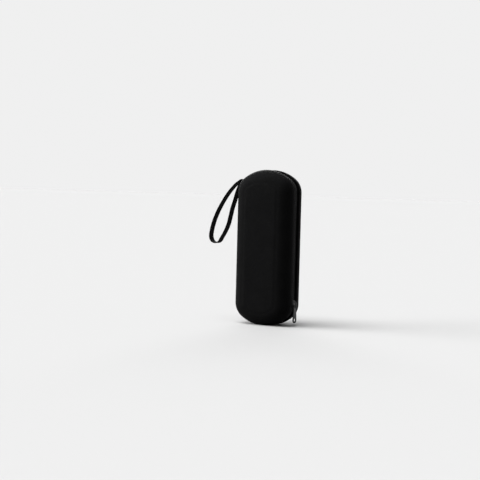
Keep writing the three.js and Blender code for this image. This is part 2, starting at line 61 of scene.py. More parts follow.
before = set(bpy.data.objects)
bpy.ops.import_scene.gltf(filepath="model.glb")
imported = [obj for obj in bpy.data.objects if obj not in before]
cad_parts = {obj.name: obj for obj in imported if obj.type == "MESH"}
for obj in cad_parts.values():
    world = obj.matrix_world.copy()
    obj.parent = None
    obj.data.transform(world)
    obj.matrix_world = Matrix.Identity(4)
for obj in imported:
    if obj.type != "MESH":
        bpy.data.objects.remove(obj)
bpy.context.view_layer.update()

MM = 0.001
WELD = MM / 1000  # points nearer than this are one
SMOOTH_ANGLE = math.radians(35)  # a fold sharper than this shows as an edge
QUARTER = math.pi / 2
UP = Vector((0, 0, 1))
ALONG_X = Vector((1, 0, 0))
ALONG_Y = Vector((0, 1, 0))
SHELL_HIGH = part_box("rear_shell")[1]

# A half's pieces start with its name. Its side of the seam is +Y or -Y, and away points there.
Half = namedtuple("Half", "name side away body")
HALVES = Half("rear", 1, ALONG_Y, "case_back"), Half("front", -1, -ALONG_Y, "lid")


# Sizes and colours


def size(name, description, default):
    """A length that a user may change. The default is in metres."""
    return bpy.props.FloatProperty(
        name=name, description=description, default=default, min=0, precision=4, unit="LENGTH"
    )


def colour(name, description, default):
    return bpy.props.FloatVectorProperty(
        name=name, description=description, default=default, min=0, max=1, size=3, subtype="COLOR"
    )


class CaseSizes(bpy.types.PropertyGroup):
    """Lengths of the case"""

    width: size("Width", "Across the case", 2 * SHELL_HIGH.x)
    height: size("Height", "From the foot to the top", SHELL_HIGH.z)
    half_depth: size("Half depth", "From the middle of the seam to the flat of a face", 25 * MM)
    corner_radius: size("Corner radius", "Round of the outline's corners", 24 * MM)
    tip_radius: size("Tip radius", "Arch of the outline's ends", 54 * MM)
    edge_radius: size("Edge radius", "Round between the wall and the face", 17 * MM)
    shell_wall: size("Shell wall", "Thickness of the moulded shell", 3.2 * MM)
    liner_wall: size("Liner wall", "Thickness of the foil-faced foam", 3.5 * MM)
    foot_cut: size("Foot", "How much of the lower end is pressed flat", 1.5 * MM)
    crown: size("Crown", "How far a face bulges", 0.6 * MM)
    crown_inset: size("Crown inset", "Where the flat middle of a face starts", 21 * MM)
    half_seam: size("Half seam", "From the middle of the seam to a shell's rim", 6 * MM)
    rim_round: size("Rim round", "Round of a shell's rim", 0.8 * MM)
    fit: size("Fit", "Clearance between pieces that touch", 0.3 * MM)
    tape_thickness: size("Tape thickness", "Thickness of the zip's tape", 0.7 * MM)
    tape_edge: size("Tape edge", "From the middle of the seam to the tape", 0.8 * MM)
    tape_tuck: size("Tape tuck", "How far the tape runs in under the shell", 2.2 * MM)
    binding_width: size("Binding width", "Width of the cloth binding", 3.4 * MM)
    binding_thickness: size("Binding thickness", "Thickness of the cloth binding", 1 * MM)
    hinge_length: size("Hinge length", "Length of the cloth hinge", 112 * MM)
    tooth_pitch: size("Tooth pitch", "From tooth to tooth on one tape", 3 * MM)
    tooth_width: size("Tooth width", "Along the zip", 1.2 * MM)
    tooth_height: size("Tooth height", "Off the tape", 1.3 * MM)
    tooth_reach: size("Tooth reach", "How far a tooth crosses the middle", 0.9 * MM)
    cord_inner: size("Cord inner", "From the middle to the teeth's cord", 1.2 * MM)
    cord_outer: size("Cord outer", "From the middle to the cord's far side", 3.2 * MM)
    stop_length: size("Stop length", "Length of a zip stop", 3 * MM)
    chain_gap: size("Chain gap", "From the hinge cloth to the first stop", 8 * MM)


class CaseColours(bpy.types.PropertyGroup):
    """Colours of the case"""

    shell: colour("Shell", "Woven skin of the shells", (0.0058, 0.0058, 0.006))
    tape: colour("Tape", "Zip tape, binding and hinge cloth", (0.009, 0.009, 0.0095))
    teeth: colour("Teeth", "Moulded zip teeth", (0.008, 0.008, 0.0083))
    metal: colour("Slider", "Enamel of the slider and the pull", (0.009, 0.009, 0.0095))
    bare_metal: colour("Bare metal", "Metal where the enamel is worn", (0.25, 0.25, 0.26))
    foil: colour("Foil", "Foil on the foam liner", (0.72, 0.73, 0.75))
    gel: colour("Gel", "Gel that shows through the film", (0.12, 0.36, 0.62))
    lining: colour("Lining", "Knitted lining of the divider", (0.05, 0.052, 0.056))
    elastic: colour("Elastic", "Pen bands and pocket edge", (0.014, 0.014, 0.0145))
    net: colour("Net", "Net of the pocket", (0.013, 0.013, 0.0135))
    webbing: colour("Webbing", "Wrist strap", (0.005, 0.005, 0.0052))
    thread: colour("Thread", "Sewing thread", (0.02, 0.02, 0.021))
    floor: colour("Floor", "Studio floor", (0.617, 0.617, 0.617))
    backdrop: colour("Backdrop", "Behind the floor", (0.87, 0.87, 0.87))


def sizes():
    return bpy.context.scene.cooling_case_sizes


def colours():
    return bpy.context.scene.cooling_case_colours


# Lines: the outline of the case, and routes drawn along it


class Outline:
    """The case's outline seen from the lid, from the middle of the hinge side upwards and round."""

    side_steps, corner_steps, tip_steps = 12, 18, 28

    def __init__(self):
        s = sizes()
        half, corner, tip = s.width / 2, s.corner_radius, s.tip_radius
        self.corner_x = half - corner
        self.turn = math.acos(self.corner_x / (tip - corner))
        self.back = (tip - corner) * math.sin(self.turn)
        self.low = tip - self.back - s.foot_cut
        self.high = s.height - tip + self.back
        self.middle = (self.low + self.high) / 2
        self.side = self.high - self.low
        turn, arch = self.turn, math.pi - 2 * self.turn
        self.stretches = [
            self.straight(-half, self.middle, 1, self.side / 2),
            self.arc(-self.corner_x, self.high, corner, math.pi, turn, self.corner_steps),
            self.arc(0, self.high - self.back, tip, math.pi - turn, arch, self.tip_steps),
            self.arc(self.corner_x, self.high, corner, turn, turn, self.corner_steps),
            self.straight(half, self.high, -1, self.side),
            self.arc(self.corner_x, self.low, corner, 0, turn, self.corner_steps),
            self.arc(0, self.low + self.back, tip, -turn, arch, self.tip_steps),
            self.arc(-self.corner_x, self.low, corner, turn - math.pi, turn, self.corner_steps),
            self.straight(-half, self.low, 1, self.side / 2),
        ]
        self.length = sum(part["length"] for part in self.stretches)

    def straight(self, x, z, way, length):
        """A straight side that is drawn up or down, with the case on its right."""
        return {
            "from": Vector((x, 0, z)), "along": UP * way, "out": ALONG_X * -way,
            "length": length, "steps": self.side_steps,
        }

    @staticmethod
    def arc(x, z, radius, start, turn, steps):
        centre = Vector((x, 0, z))
        return {"centre": centre, "radius": radius, "start": start, "length": turn * radius, "steps": steps}

    def at(self, distance, inset=0.0):
        """The point at a distance along the outline and the outward direction there, both in the X-Z plane."""
        left = distance % self.length
        for part in self.stretches:
            if left <= part["length"]:
                break
            left -= part["length"]
        if "centre" not in part:
            return part["from"] + part["along"] * left - part["out"] * inset, part["out"].copy()
        angle = part["start"] - left / part["radius"]
        out = Vector((math.cos(angle), 0, math.sin(angle)))
        return part["centre"] + out * (part["radius"] - inset), out

    def around(self, inset, depth, steps, skip=0.0):
        """Even steps all round, as (point, outward direction), less a short skip at both ends."""
        span = self.length - 2 * skip
        places = [self.at(skip + span * k / steps, inset) for k in range(steps + 1)]
        return [(point + ALONG_Y * depth, out) for point, out in places]

    def inset_of(self, co):
        """How far a point lies inside the outline."""
        s, side = sizes(), abs(co.x)
        past = abs(co.z - self.middle) - self.side / 2
        if past <= 0:
            return s.width / 2 - side
        if math.atan2(past, side - self.corner_x) <= self.turn:
            return s.corner_radius - math.hypot(side - self.corner_x, past)
        return s.tip_radius - math.hypot(side, past + self.back)

    def route(self, inset, depth, skip=0.0):
        """Draws the outline, less a stretch at both ends, as a chain of edges."""
        end = self.length - skip
        route = Route(self.at(skip, inset)[0] + ALONG_Y * depth)
        passed = 0.0
        for part in self.stretches:
            drawn = min(end - passed, part["length"]) - max(skip - passed, 0)
            if drawn > MM / 10:
                steps = max(1, math.ceil(part["steps"] * drawn / part["length"]))
                if "centre" in part:
                    route.arc(part["centre"] + ALONG_Y * depth, ALONG_Y, drawn / part["radius"], steps)
                else:
                    for _ in range(steps):
                        route.line(route.path[-1].co + part["along"] * drawn / steps)
            passed += part["length"]
        return route


class Route:
    """A chain of edges, drawn line by line and arc by arc."""

    def __init__(self, start):
        self.bm = bmesh.new()
        self.path = [self.bm.verts.new(start)]

    def line(self, *stops):
        for stop in stops:
            made = bmesh.ops.extrude_vert_indiv(self.bm, verts=[self.path[-1]])["verts"][0]
            made.co = stop
            self.path.append(made)
        return self

    def arc(self, centre, axis, angle, steps):
        bmesh.ops.spin(
            self.bm, geom=[self.path[-1]], cent=centre, axis=axis, dvec=(0, 0, 0), angle=angle, steps=steps
        )
        known = set(self.path)
        while ahead := [v for e in self.path[-1].link_edges for v in e.verts if v not in known]:
            self.path.append(ahead[0])
            known.add(ahead[0])
        return self

    def close(self):
        return self.line(self.path[0].co)

    def face(self, towards=None):
        """Joins the ends and fills the closed line. Gives the mesh and the face."""
        weld(self.bm)
        return self.bm, filled(self.bm, self.bm.edges, towards)

    def points(self):
        """The chain's points. The route itself ends here."""
        points = [v.co.copy() for v in self.path]
        self.bm.free()
        return points


def distances(points):
    """How far along a line each of its points lies."""
    return [0.0, *accumulate((b - a).length for a, b in pairwise(points))]


def even_points(start, end, steps):
    return [start.lerp(end, k / steps) for k in range(steps + 1)]


def smooth(share):
    """Eases a share in and out between 0 and 1."""
    share = min(max(share, 0), 1)
    return share * share * (3 - 2 * share)


# Forms that are pressed, cut and bevelled


def weld(bm):
    bmesh.ops.remove_doubles(bm, verts=bm.verts, dist=WELD)


def filled(bm, edges, towards=None):
    """Fills a closed line of edges with one face, which looks in a direction."""
    face = bmesh.ops.contextual_create(bm, geom=edges)["faces"][0]
    if towards is not None and face.normal.dot(towards) < 0:
        face.normal_flip()
    return face


def open_rim(bm, towards):
    """Closes the one open edge of a pressed form and returns the face over it."""
    return filled(bm, [e for e in bm.edges if e.is_boundary], towards)


def edge_profile(radius, steps, start=0.0, way=1):
    """The presses that make a rounded edge, from an angle up to its flat top. A way of -1 makes a hollow."""
    angles = [start + (QUARTER - start) * k / steps for k in range(steps + 1)]
    return [
        (radius * (math.cos(a) - math.cos(b)), way * radius * (math.sin(b) - math.sin(a)))
        for a, b in pairwise(angles)
    ]


def press(bm, face, steps):
    """Draws a face in and out in steps of (inset, depth), as a moulding press does. Returns the face."""
    for inset, depth in steps:
        bmesh.ops.inset_region(
            bm, faces=[face], thickness=inset, depth=depth, use_even_offset=True, use_boundary=True
        )
        face.normal_update()
    return face


def split(bm, at, normal, geom=None, **clear):
    """Cuts a mesh, or some of it, along a plane. Returns what was cut."""
    geom = geom or bm.verts[:] + bm.edges[:] + bm.faces[:]
    return bmesh.ops.bisect_plane(bm, geom=geom, dist=WELD, plane_co=at, plane_no=normal, **clear)["geom"]


def cut_foot(bm):
    """Presses the lower end flat at the height of the foot."""
    split(bm, (0, 0, 0), UP, clear_inner=True)
    bmesh.ops.holes_fill(bm, edges=[e for e in bm.edges if e.is_boundary], sides=0)


def grid_cut(bm, face, step):
    """Cuts one flat face into cells, so that it can be ruffled."""
    corners = [v.co.copy() for v in face.verts]
    geom = [*face.verts, *face.edges, face]
    for axis in (ALONG_X, UP):
        reach = [co.dot(axis) for co in corners]
        start, span = min(reach), max(reach) - min(reach)
        count = max(2, round(span / step))
        for k in range(1, count):
            geom = split(bm, axis * (start + span * k / count), axis, geom)


def ruffle(bm, amount, scale, seed, where=lambda v: 1.0):
    """Moves points along their normals by a smooth noise."""
    bm.normal_update()
    moves = [
        v.normal * amount * where(v) * noise.noise(v.co * scale + Vector((seed, 0, seed))) for v in bm.verts
    ]
    for v, move in zip(bm.verts, moves):
        v.co += move


def sharp_edges(bm, degrees=40):
    limit = math.radians(degrees)
    return [e for e in bm.edges if len(e.link_faces) == 2 and e.calc_face_angle(0) > limit]


def bevel(bm, edges, width, segments=1):
    bmesh.ops.bevel(
        bm, geom=edges, offset=width, affect="EDGES", segments=segments, profile=0.5, material=-1,
        clamp_overlap=True,
    )


def made_by(operator, kind=bmesh.types.BMVert):
    """The points, or the edges, that an operator made."""
    return [made for made in operator["geom"] if isinstance(made, kind)]


def slab(route, thickness, holes=()):
    """A flat plate cut to a closed line, with holes that are closed lines too."""
    bm = route.bm
    weld(bm)
    for hole in holes:
        weld(hole.bm)
        spare = as_mesh(hole.bm)
        bm.from_mesh(spare)
        bpy.data.meshes.remove(spare)
    bmesh.ops.triangle_fill(bm, edges=bm.edges[:], use_beauty=True)
    bmesh.ops.recalc_face_normals(bm, faces=bm.faces)
    made = bmesh.ops.extrude_face_region(bm, geom=bm.faces[:])
    bmesh.ops.translate(bm, verts=made_by(made), vec=thickness)
    return bm


def placed(at, along, out):
    """A matrix with its X along a seam and its Z off the surface."""
    across = out.cross(along).normalized()
    turned = Matrix((along.normalized(), across, out.normalized())).transposed().to_4x4()
    return Matrix.Translation(at) @ turned


def rounded_bar(bm, length, width, height, matrix, segments=1):
    """One small bar with soft edges, along its own X, added to a mesh."""
    scale = Matrix.Diagonal((length, width, height, 1))
    made = bmesh.ops.create_cube(bm, size=1, matrix=matrix @ scale)
    edges = {e for v in made["verts"] for e in v.link_edges}
    bevel(bm, list(edges), min(length, width, height) * 0.34, segments)


# Finished pieces, strips of cloth and rows of stitches

MATERIALS = {}


def as_mesh(bm, name="spare"):
    mesh = bpy.data.meshes.new(name)
    bm.to_mesh(mesh)
    bm.free()
    return mesh


def smooth_mesh(bm, name):
    bmesh.ops.recalc_face_normals(bm, faces=bm.faces)
    mesh = as_mesh(bm, name)
    mesh.polygons.foreach_set("use_smooth", [True] * len(mesh.polygons))
    mesh.set_sharp_from_angle(angle=SMOOTH_ANGLE)
    return mesh


def linked(name, data):
    obj = bpy.data.objects.new(name, data)
    bpy.context.scene.collection.objects.link(obj)
    return obj


def piece(name, bm, body, slot, node=None, made_of=None):
    """A finished piece that moves with one body. Its material is called like its slot, if none is named."""
    bm.normal_update()
    obj = linked(name, smooth_mesh(bm, name))
    obj.data.materials.append(MATERIALS[made_of or slot])
    if body:
        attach(obj, body)
    if node:
        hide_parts(node)
    return obj


def thicken(obj, thickness, soft=0.0, segments=2):
    """Gives a cloth surface its thickness and soft edges."""
    solid = obj.modifiers.new("Thickness", "SOLIDIFY")
    solid.thickness = thickness
    solid.offset = 0.0
    if soft:
        rounding = obj.modifiers.new("Soft edges", "BEVEL")
        rounding.width = soft
        rounding.segments = segments
        rounding.limit_method = "ANGLE"
        rounding.angle_limit = math.radians(50)
    return obj


def cloth_map(bm, place):
    """Writes a UV map in metres: across the cloth, and along it."""
    uv = bm.loops.layers.uv.new("Cloth")
    for face in bm.faces:
        for loop in face.loops:
            loop[uv].uv = place(loop.vert)


def ribbon(points, across, width, steps=1):
    """A flat strip of cloth that starts as a line and is drawn out to one side."""
    bm = Route(points[0]).line(*points[1:]).bm

    def row(co):
        """What all points straight across from one another have in common."""
        return tuple(round(value / MM, 3) for value in co - across * co.dot(across))

    rows = {row(point): (point.dot(across), along) for point, along in zip(points, distances(points))}
    edges = bm.edges[:]
    for _ in range(steps):
        made = bmesh.ops.extrude_edge_only(bm, edges=edges)
        fresh = made_by(made)
        bmesh.ops.translate(bm, verts=fresh, vec=across * width / steps)
        ends = set(fresh)
        edges = [e for e in made_by(made, bmesh.types.BMEdge) if ends.issuperset(e.verts)]

    def place(v):
        start, along = rows[row(v.co)]
        return v.co.dot(across) - start, along

    cloth_map(bm, place)
    return bm


def twisted_ribbon(middles, wides, width, columns=3):
    """A strip of cloth that turns on its way, given by its middles and its direction across at each."""
    places = [c * width / columns for c in range(columns + 1)]
    line = [middles[0] + wides[0] * (place - width / 2) for place in places]
    route = Route(line[0]).line(*line[1:])
    bm, edges, along = route.bm, route.bm.edges[:], 0.0
    spots = {v: (place, along) for v, place in zip(route.path, places)}
    for (before, wide_before), (middle, wide) in pairwise(zip(middles, wides)):
        row = made_by(bmesh.ops.extrude_edge_only(bm, edges=edges))
        turn = wide_before.rotation_difference(wide).to_matrix()
        bmesh.ops.translate(bm, verts=row, vec=middle - before)
        bmesh.ops.rotate(bm, verts=row, cent=middle, matrix=turn)
        along += (middle - before).length
        row.sort(key=lambda v: (v.co - middle).dot(wide))
        spots.update({v: (place, along) for v, place in zip(row, places)})
        edges = list({e for v in row for e in v.link_edges if all(end in row for end in e.verts)})
    cloth_map(bm, spots.get)
    return bm


def strip(name, points, across, width, thickness, body, slot, node=None, steps=1, soft=0.0, segments=2):
    """A strip of cloth or wire along a line, as a finished piece."""
    bm = ribbon(points, across, width, steps)
    return thicken(piece(name, bm, body, slot, node), thickness, soft, segments)


def edging(name, half, inset, near, width, thickness, skip, node=None, **look):
    """A strip of tape that runs round the case beside the seam, less a skip at both ends."""
    points = [point + half.away * near for point in Outline().route(inset, 0, skip).points()]
    name = f"{half.name}_{name}"
    return strip(name, points, half.away, width, thickness, half.body, "zip_tape", node, **look)


def seam(bm, line, stitch=2.2 * MM, gap=1.0 * MM, thread=0.45 * MM, sink=0.12):
    """A row of stitches along a line of (point, direction off the surface)."""
    points, outs = zip(*line)
    lengths = distances(points)
    count = int(lengths[-1] / (stitch + gap))
    k = 0
    for i in range(count):
        at = (i + 0.5) * lengths[-1] / count
        while k < len(lengths) - 2 and lengths[k + 1] < at:
            k += 1
        share = (at - lengths[k]) / (lengths[k + 1] - lengths[k])
        middle = points[k].lerp(points[k + 1], share)
        out = outs[k].lerp(outs[k + 1], share)
        along = points[k + 1] - points[k]
        rounded_bar(bm, stitch, thread, thread, placed(middle + out * thread * sink, along, out))


def stitches(name, lines, body, slot, **look):
    """Rows of thread as one piece, on a piece that has the slot."""
    bm = bmesh.new()
    for line in lines:
        seam(bm, line, **look)
    return piece(name, bm, body, slot, made_of="thread")


# Shader helpers and shared effects


class Nodes:
    """Adds nodes to a tree. Inputs are given by name or number, as values or as other nodes' outputs."""

    def __init__(self, tree):
        self.tree = tree

    def add(self, kind, inputs=None, **settings):
        made = self.tree.nodes.new("ShaderNode" + kind)
        for name, value in settings.items():
            setattr(made, name, value)
        for name, value in (inputs or {}).items():
            if isinstance(value, bpy.types.NodeSocket):
                self.tree.links.new(value, made.inputs[name])
            else:
                made.inputs[name].default_value = value
        return made

    def feed(self, node, **outputs):
        """Links outputs to a node's inputs, whose names are written with _ for a space."""
        for name, output in outputs.items():
            self.tree.links.new(output, node.inputs[name.replace("_", " ")])

    def maths(self, operation, *values, clamp=False):
        return self.add("Math", dict(enumerate(values)), operation=operation, use_clamp=clamp).outputs[0]

    def plus(self, a, b):
        return self.maths("ADD", a, b)

    def times(self, a, b):
        return self.maths("MULTIPLY", a, b)

    def size_of(self, value):
        return self.maths("ABSOLUTE", value)

    def wave(self, value):
        """A sine with a half wave to each unit."""
        return self.maths("SINE", self.times(value, math.pi))

    def axes(self, vector):
        return self.add("SeparateXYZ", {0: vector}).outputs

    def place(self):
        return self.add("TexCoord").outputs["Object"]

    def noise(self, place, scale, detail, output="Fac"):
        return self.add("TexNoise", {"Vector": place, "Scale": scale, "Detail": detail}).outputs[output]

    def mix(self, share, a, b):
        return self.add("Mix", {0: share, 6: a, 7: b}, data_type="RGBA").outputs[2]

    def span(self, value, low, high, to_low=0.0, to_high=1.0):
        inputs = {"Value": value, "From Min": low, "From Max": high, "To Min": to_low, "To Max": to_high}
        return self.add("MapRange", inputs, clamp=True).outputs[0]

    def shades(self, value, low, high, tint, dark, light):
        """A colour that gets lighter as a value rises. Dark and light are shares of the tint."""
        ends = [(*[min(channel * share, 1.0) for channel in tint], 1.0) for share in (dark, light)]
        return self.mix(self.span(value, low, high), *ends)

    def effect(self, group, **inputs):
        """A shared effect with this material's own values. Gives its outputs."""
        values = {name.replace("_", " "): value for name, value in inputs.items()}
        return self.add("Group", values, node_tree=group).outputs

    def bump(self, shader, height, distance, strength=1.0):
        made = self.add("Bump", {"Height": height, "Distance": distance, "Strength": strength})
        self.feed(shader, Normal=made.outputs[0])


def new_group(name, inputs, outputs):
    """An empty group. An input with no default is a vector, and all others are numbers."""
    tree = bpy.data.node_groups.new(name, "ShaderNodeTree")
    for label, default in inputs.items():
        kind = "NodeSocketVector" if default is None else "NodeSocketFloat"
        made = tree.interface.new_socket(name=label, in_out="INPUT", socket_type=kind)
        if default is not None:
            made.default_value = default
    for label in outputs:
        tree.interface.new_socket(name=label, in_out="OUTPUT", socket_type="NodeSocketFloat")
    return Nodes(tree), tree.nodes.new("NodeGroupInput").outputs, tree.nodes.new("NodeGroupOutput")


@cache
def plain_weave():
    """Over-and-under weave in two directions. One unit of the vector is one thread."""
    nodes, source, sink = new_group("Plain weave", {"Vector": None}, ["Height"])
    x, y, _ = nodes.axes(source["Vector"])

    def thread(across, along):
        """Height of a thread, which is round across itself and goes up and down along itself."""
        lift = nodes.plus(along, nodes.maths("FLOOR", across))
        return nodes.plus(nodes.size_of(nodes.wave(across)), nodes.times(nodes.wave(lift), 0.6))

    height = nodes.maths("MAXIMUM", thread(x, nodes.plus(y, 0.5)), thread(y, nodes.plus(x, 1.5)))
    nodes.feed(sink, Height=nodes.maths("MULTIPLY", height, 0.6, clamp=True))
    return nodes.tree


@cache
def woven_skin():
    """The weave on every side of a curved form, with fibre fuzz and slow unevenness. Its tone output is
    painted shade, darker where the weave lies low, mixed with that slow unevenness.
    """
    nodes, source, sink = new_group("Woven skin", {"Threads per metre": 1600.0}, ["Height", "Shade"])
    place = nodes.add("TexCoord").outputs
    inputs = {0: place["Object"], "Scale": source["Threads per metre"]}
    threads = nodes.axes(nodes.add("VectorMath", inputs, operation="SCALE").outputs[0])
    facing = nodes.axes(place["Normal"])
    total, weights = 0.0, 0.0
    for k, (a, b) in enumerate(((1, 2), (0, 2), (0, 1))):
        plane = nodes.add("CombineXYZ", {0: threads[a], 1: threads[b]}).outputs[0]
        height = nodes.effect(plain_weave(), Vector=plane)[0]
        weight = nodes.maths("POWER", nodes.size_of(facing[k]), 6)
        total = nodes.plus(total, nodes.times(height, weight))
        weights = nodes.plus(weights, weight)
    height = nodes.maths("DIVIDE", total, nodes.maths("MAXIMUM", weights, 0.001))
    slow = nodes.noise(place["Object"], 55.0, 4.0)
    fuzz = nodes.noise(place["Object"], 5200.0, 2.0)
    # The tone is painted shade in the weave's low parts, mixed with slow unevenness in the cloth's own colour.
    shade = nodes.plus(nodes.times(height, 0.35), nodes.times(slow, 0.65))
    nodes.feed(sink, Height=nodes.plus(height, nodes.times(fuzz, 0.35)), Shade=shade)
    return nodes.tree


@cache
def ribbed_cloth():
    """Ribs of webbing, elastic and tape, from the piece's own map in metres. The tone output is painted shade,
    darker in the grooves between ribs.
    """
    counts = {"Across": 900.0, "Along": 1400.0, "Slant": 0.0}
    nodes, source, sink = new_group("Ribbed cloth", counts, ["Height", "Shade"])
    place = nodes.add("UVMap", uv_map="Cloth").outputs[0]
    x, y, _ = nodes.axes(place)
    across = nodes.times(x, source["Across"])
    slant = nodes.times(nodes.maths("PINGPONG", across, 4.0), source["Slant"])
    along = nodes.plus(nodes.times(y, source["Along"]), slant)
    half = nodes.times(nodes.maths("FLOOR", across), 0.5)
    row = nodes.size_of(nodes.wave(nodes.plus(along, half)))
    height = nodes.times(nodes.size_of(nodes.wave(across)), row)
    fuzz = nodes.times(nodes.noise(place, 4200.0, 2.0), 0.3)
    # The rib height also goes out as the tone: painted shade in the grooves.
    nodes.feed(sink, Height=nodes.plus(height, fuzz), Shade=height)
    return nodes.tree


@cache
def edge_wear():
    """Where edges and corners are rubbed bare."""
    limits = {"Low": 0.52, "High": 0.6, "Scale": 900.0}
    nodes, source, sink = new_group("Edge wear", limits, ["Mask"])
    edge = nodes.add("NewGeometry").outputs["Pointiness"]
    patch = nodes.maths("SUBTRACT", nodes.noise(nodes.place(), source["Scale"], 5.0), 0.5)
    worn = nodes.plus(edge, nodes.times(patch, 0.12))
    nodes.feed(sink, Mask=nodes.span(worn, source["Low"], source["High"]))
    return nodes.tree


@cache
def dust():
    """A thin settling of lint and dust that lies on what faces up."""
    nodes, source, sink = new_group("Dust", {"Amount": 0.1}, ["Mask"])
    place = nodes.add("TexCoord").outputs
    lying = nodes.span(nodes.axes(place["Normal"])[2], -0.2, 1.0, 0.25, 1.0)
    speck = nodes.span(nodes.noise(place["Object"], 420.0, 6.0), 0.52, 0.72)
    nodes.feed(sink, Mask=nodes.times(source["Amount"], nodes.times(lying, speck)))
    return nodes.tree


# Materials


def finish(name, roughness, **constants):
    """A new material's nodes and its shader, with what is the same all over set on the shader."""
    material = MATERIALS[name] = bpy.data.materials.new(name)
    material.use_nodes = True
    material.node_tree.nodes.clear()
    nodes = Nodes(material.node_tree)
    inputs = {label.replace("_", " "): value for label, value in constants.items()}
    shader = nodes.add("BsdfPrincipled", {"Roughness": roughness, **inputs})
    nodes.feed(nodes.add("OutputMaterial"), Surface=shader.outputs[0])
    return nodes, shader


def cloth_finish(name, roughness, sheen=0.1):
    return finish(name, roughness, Sheen_Weight=sheen, Sheen_Roughness=0.5, Specular_IOR_Level=0.02)


def woven_material(name, tint, threads, depth, roughness, sheen):
    nodes, shader = cloth_finish(name, roughness, sheen)
    skin = nodes.effect(woven_skin(), Threads_per_metre=threads)
    # Painted shade: the cloth's colour is darker where the weave lies low, and it also varies slowly at
    # random.
    base = nodes.shades(skin["Shade"], 0.2, 0.85, tint, 0.7, 1.3)
    dusty = nodes.mix(nodes.effect(dust(), Amount=0.02)[0], base, (0.3, 0.3, 0.3, 1))
    rough = nodes.span(skin["Shade"], 0.2, 0.9, roughness + 0.08, roughness - 0.08)
    nodes.feed(shader, Base_Color=dusty, Roughness=rough)
    nodes.bump(shader, skin["Height"], depth)


def ribbed_material(name, tint, across, along, depth, slant=0.0):
    nodes, shader = cloth_finish(name, 0.8)
    ribs = nodes.effect(ribbed_cloth(), Across=across, Along=along, Slant=slant)
    # Painted shade: the colour darkens in the grooves between ribs.
    nodes.feed(shader, Base_Color=nodes.shades(ribs["Shade"], 0.1, 0.9, tint, 0.65, 1.3))
    nodes.bump(shader, ribs["Height"], depth)


def enamel_material(name, tint, bare, roughness):
    """Enamelled metal that is rubbed bright on its edges."""
    nodes, shader = finish(name, roughness, Specular_IOR_Level=0.22)
    rubbed = nodes.times(nodes.effect(edge_wear())[0], 0.35)
    grain = nodes.noise(nodes.place(), 2600.0, 3.0)
    base = nodes.mix(rubbed, nodes.shades(grain, 0.3, 0.7, tint, 0.92, 1.1), (*bare, 1))
    rough = nodes.span(grain, 0.3, 0.7, roughness - 0.05, roughness + 0.07)
    nodes.feed(shader, Base_Color=base, Metallic=rubbed, Roughness=rough)
    nodes.bump(shader, grain, 0.006 * MM, 0.6)


def plastic_material(name, tint, roughness):
    nodes, shader = finish(name, roughness, Specular_IOR_Level=0.12)
    grain = nodes.noise(nodes.place(), 1800.0, 4.0)
    rough = nodes.span(grain, 0.3, 0.7, roughness - 0.06, roughness + 0.08)
    nodes.feed(shader, Base_Color=nodes.shades(grain, 0.3, 0.7, tint, 0.8, 1.25), Roughness=rough)
    nodes.bump(shader, grain, 0.015 * MM, 0.5)


def foil_material(name, tint):
    """Crinkled metal foil on foam, with painted shade that darkens the foil along its creases."""
    nodes, shader = finish(name, 0.32)
    place = nodes.place()
    bend = {0: nodes.noise(place, 120.0, 3.0, "Color"), "Scale": 0.006}
    moved = nodes.add("VectorMath", bend, operation="SCALE").outputs[0]
    warped = nodes.add("VectorMath", {0: place, 1: moved}, operation="ADD").outputs[0]
    crease = nodes.add("TexVoronoi", {"Vector": warped, "Scale": 260.0}, feature="DISTANCE_TO_EDGE").outputs
    fine = nodes.noise(warped, 900.0, 5.0)
    metal, rough = nodes.span(fine, 0.2, 0.8, 0.86, 0.97), nodes.span(fine, 0.3, 0.7, 0.24, 0.42)
    # Painted shade: the foil's colour is darker along the creases.
    base = nodes.shades(crease["Distance"], 0.0, 0.35, tint, 0.8, 1.05)
    nodes.feed(shader, Base_Color=base, Metallic=metal, Roughness=rough)
    fold = nodes.span(crease["Distance"], 0.0, 0.35)
    nodes.bump(shader, nodes.plus(fold, nodes.times(fine, 0.5)), 0.35 * MM, 0.7)


def gel_material(name, tint):
    """Blue gel seen through glossy film, with clouds and pale bubbles."""
    nodes, shader = finish(name, 0.28, Coat_Weight=0.7, Coat_Roughness=0.12)
    place = nodes.place()
    cells = nodes.add("TexVoronoi", {"Vector": place, "Scale": 420.0}, feature="SMOOTH_F1").outputs
    bubbles = nodes.times(nodes.span(cells["Distance"], 0.05, 0.16, 1.0, 0.0), 0.35)
    base = nodes.shades(nodes.noise(place, 60.0, 6.0), 0.3, 0.7, tint, 0.75, 1.35)
    nodes.feed(shader, Base_Color=nodes.mix(bubbles, base, (0.75, 0.86, 0.95, 1)))
    nodes.bump(shader, nodes.noise(place, 320.0, 5.0), 0.5 * MM, 0.5)


def make_materials():
    """Every finish of the case. Threads and ribs are counted per metre."""
    c = colours()
    woven_material("shell_cloth", c.shell, 1500.0, 0.09 * MM, 0.62, 0.0)
    foil_material("foil_foam", c.foil)
    ribbed_material("zip_tape", c.tape, 1300.0, 1500.0, 0.1 * MM, slant=1.0)
    plastic_material("zip_teeth", c.teeth, 0.45)
    enamel_material("slider_metal", c.metal, c.bare_metal, 0.42)
    gel_material("gel_film", c.gel)
    woven_material("divider_cloth", c.lining, 1100.0, 0.12 * MM, 0.85, 0.2)
    ribbed_material("elastic", c.elastic, 700.0, 900.0, 0.16 * MM)
    ribbed_material("webbing", c.webbing, 1100.0, 1000.0, 0.16 * MM)
    plastic_material("net", c.net, 0.6)
    plastic_material("thread", c.thread, 0.55)


# The stage and the pieces


def direction(azimuth, elevation):
    """Where something stands, seen from the case, by two angles in degrees."""
    turn, up = math.radians(azimuth), math.radians(elevation)
    return Vector((math.sin(turn) * math.cos(up), -math.cos(turn) * math.cos(up), math.sin(up)))


class CaseOperator(bpy.types.Operator):
    """What the operators of the case share"""

    bl_options = {"REGISTER", "UNDO"}


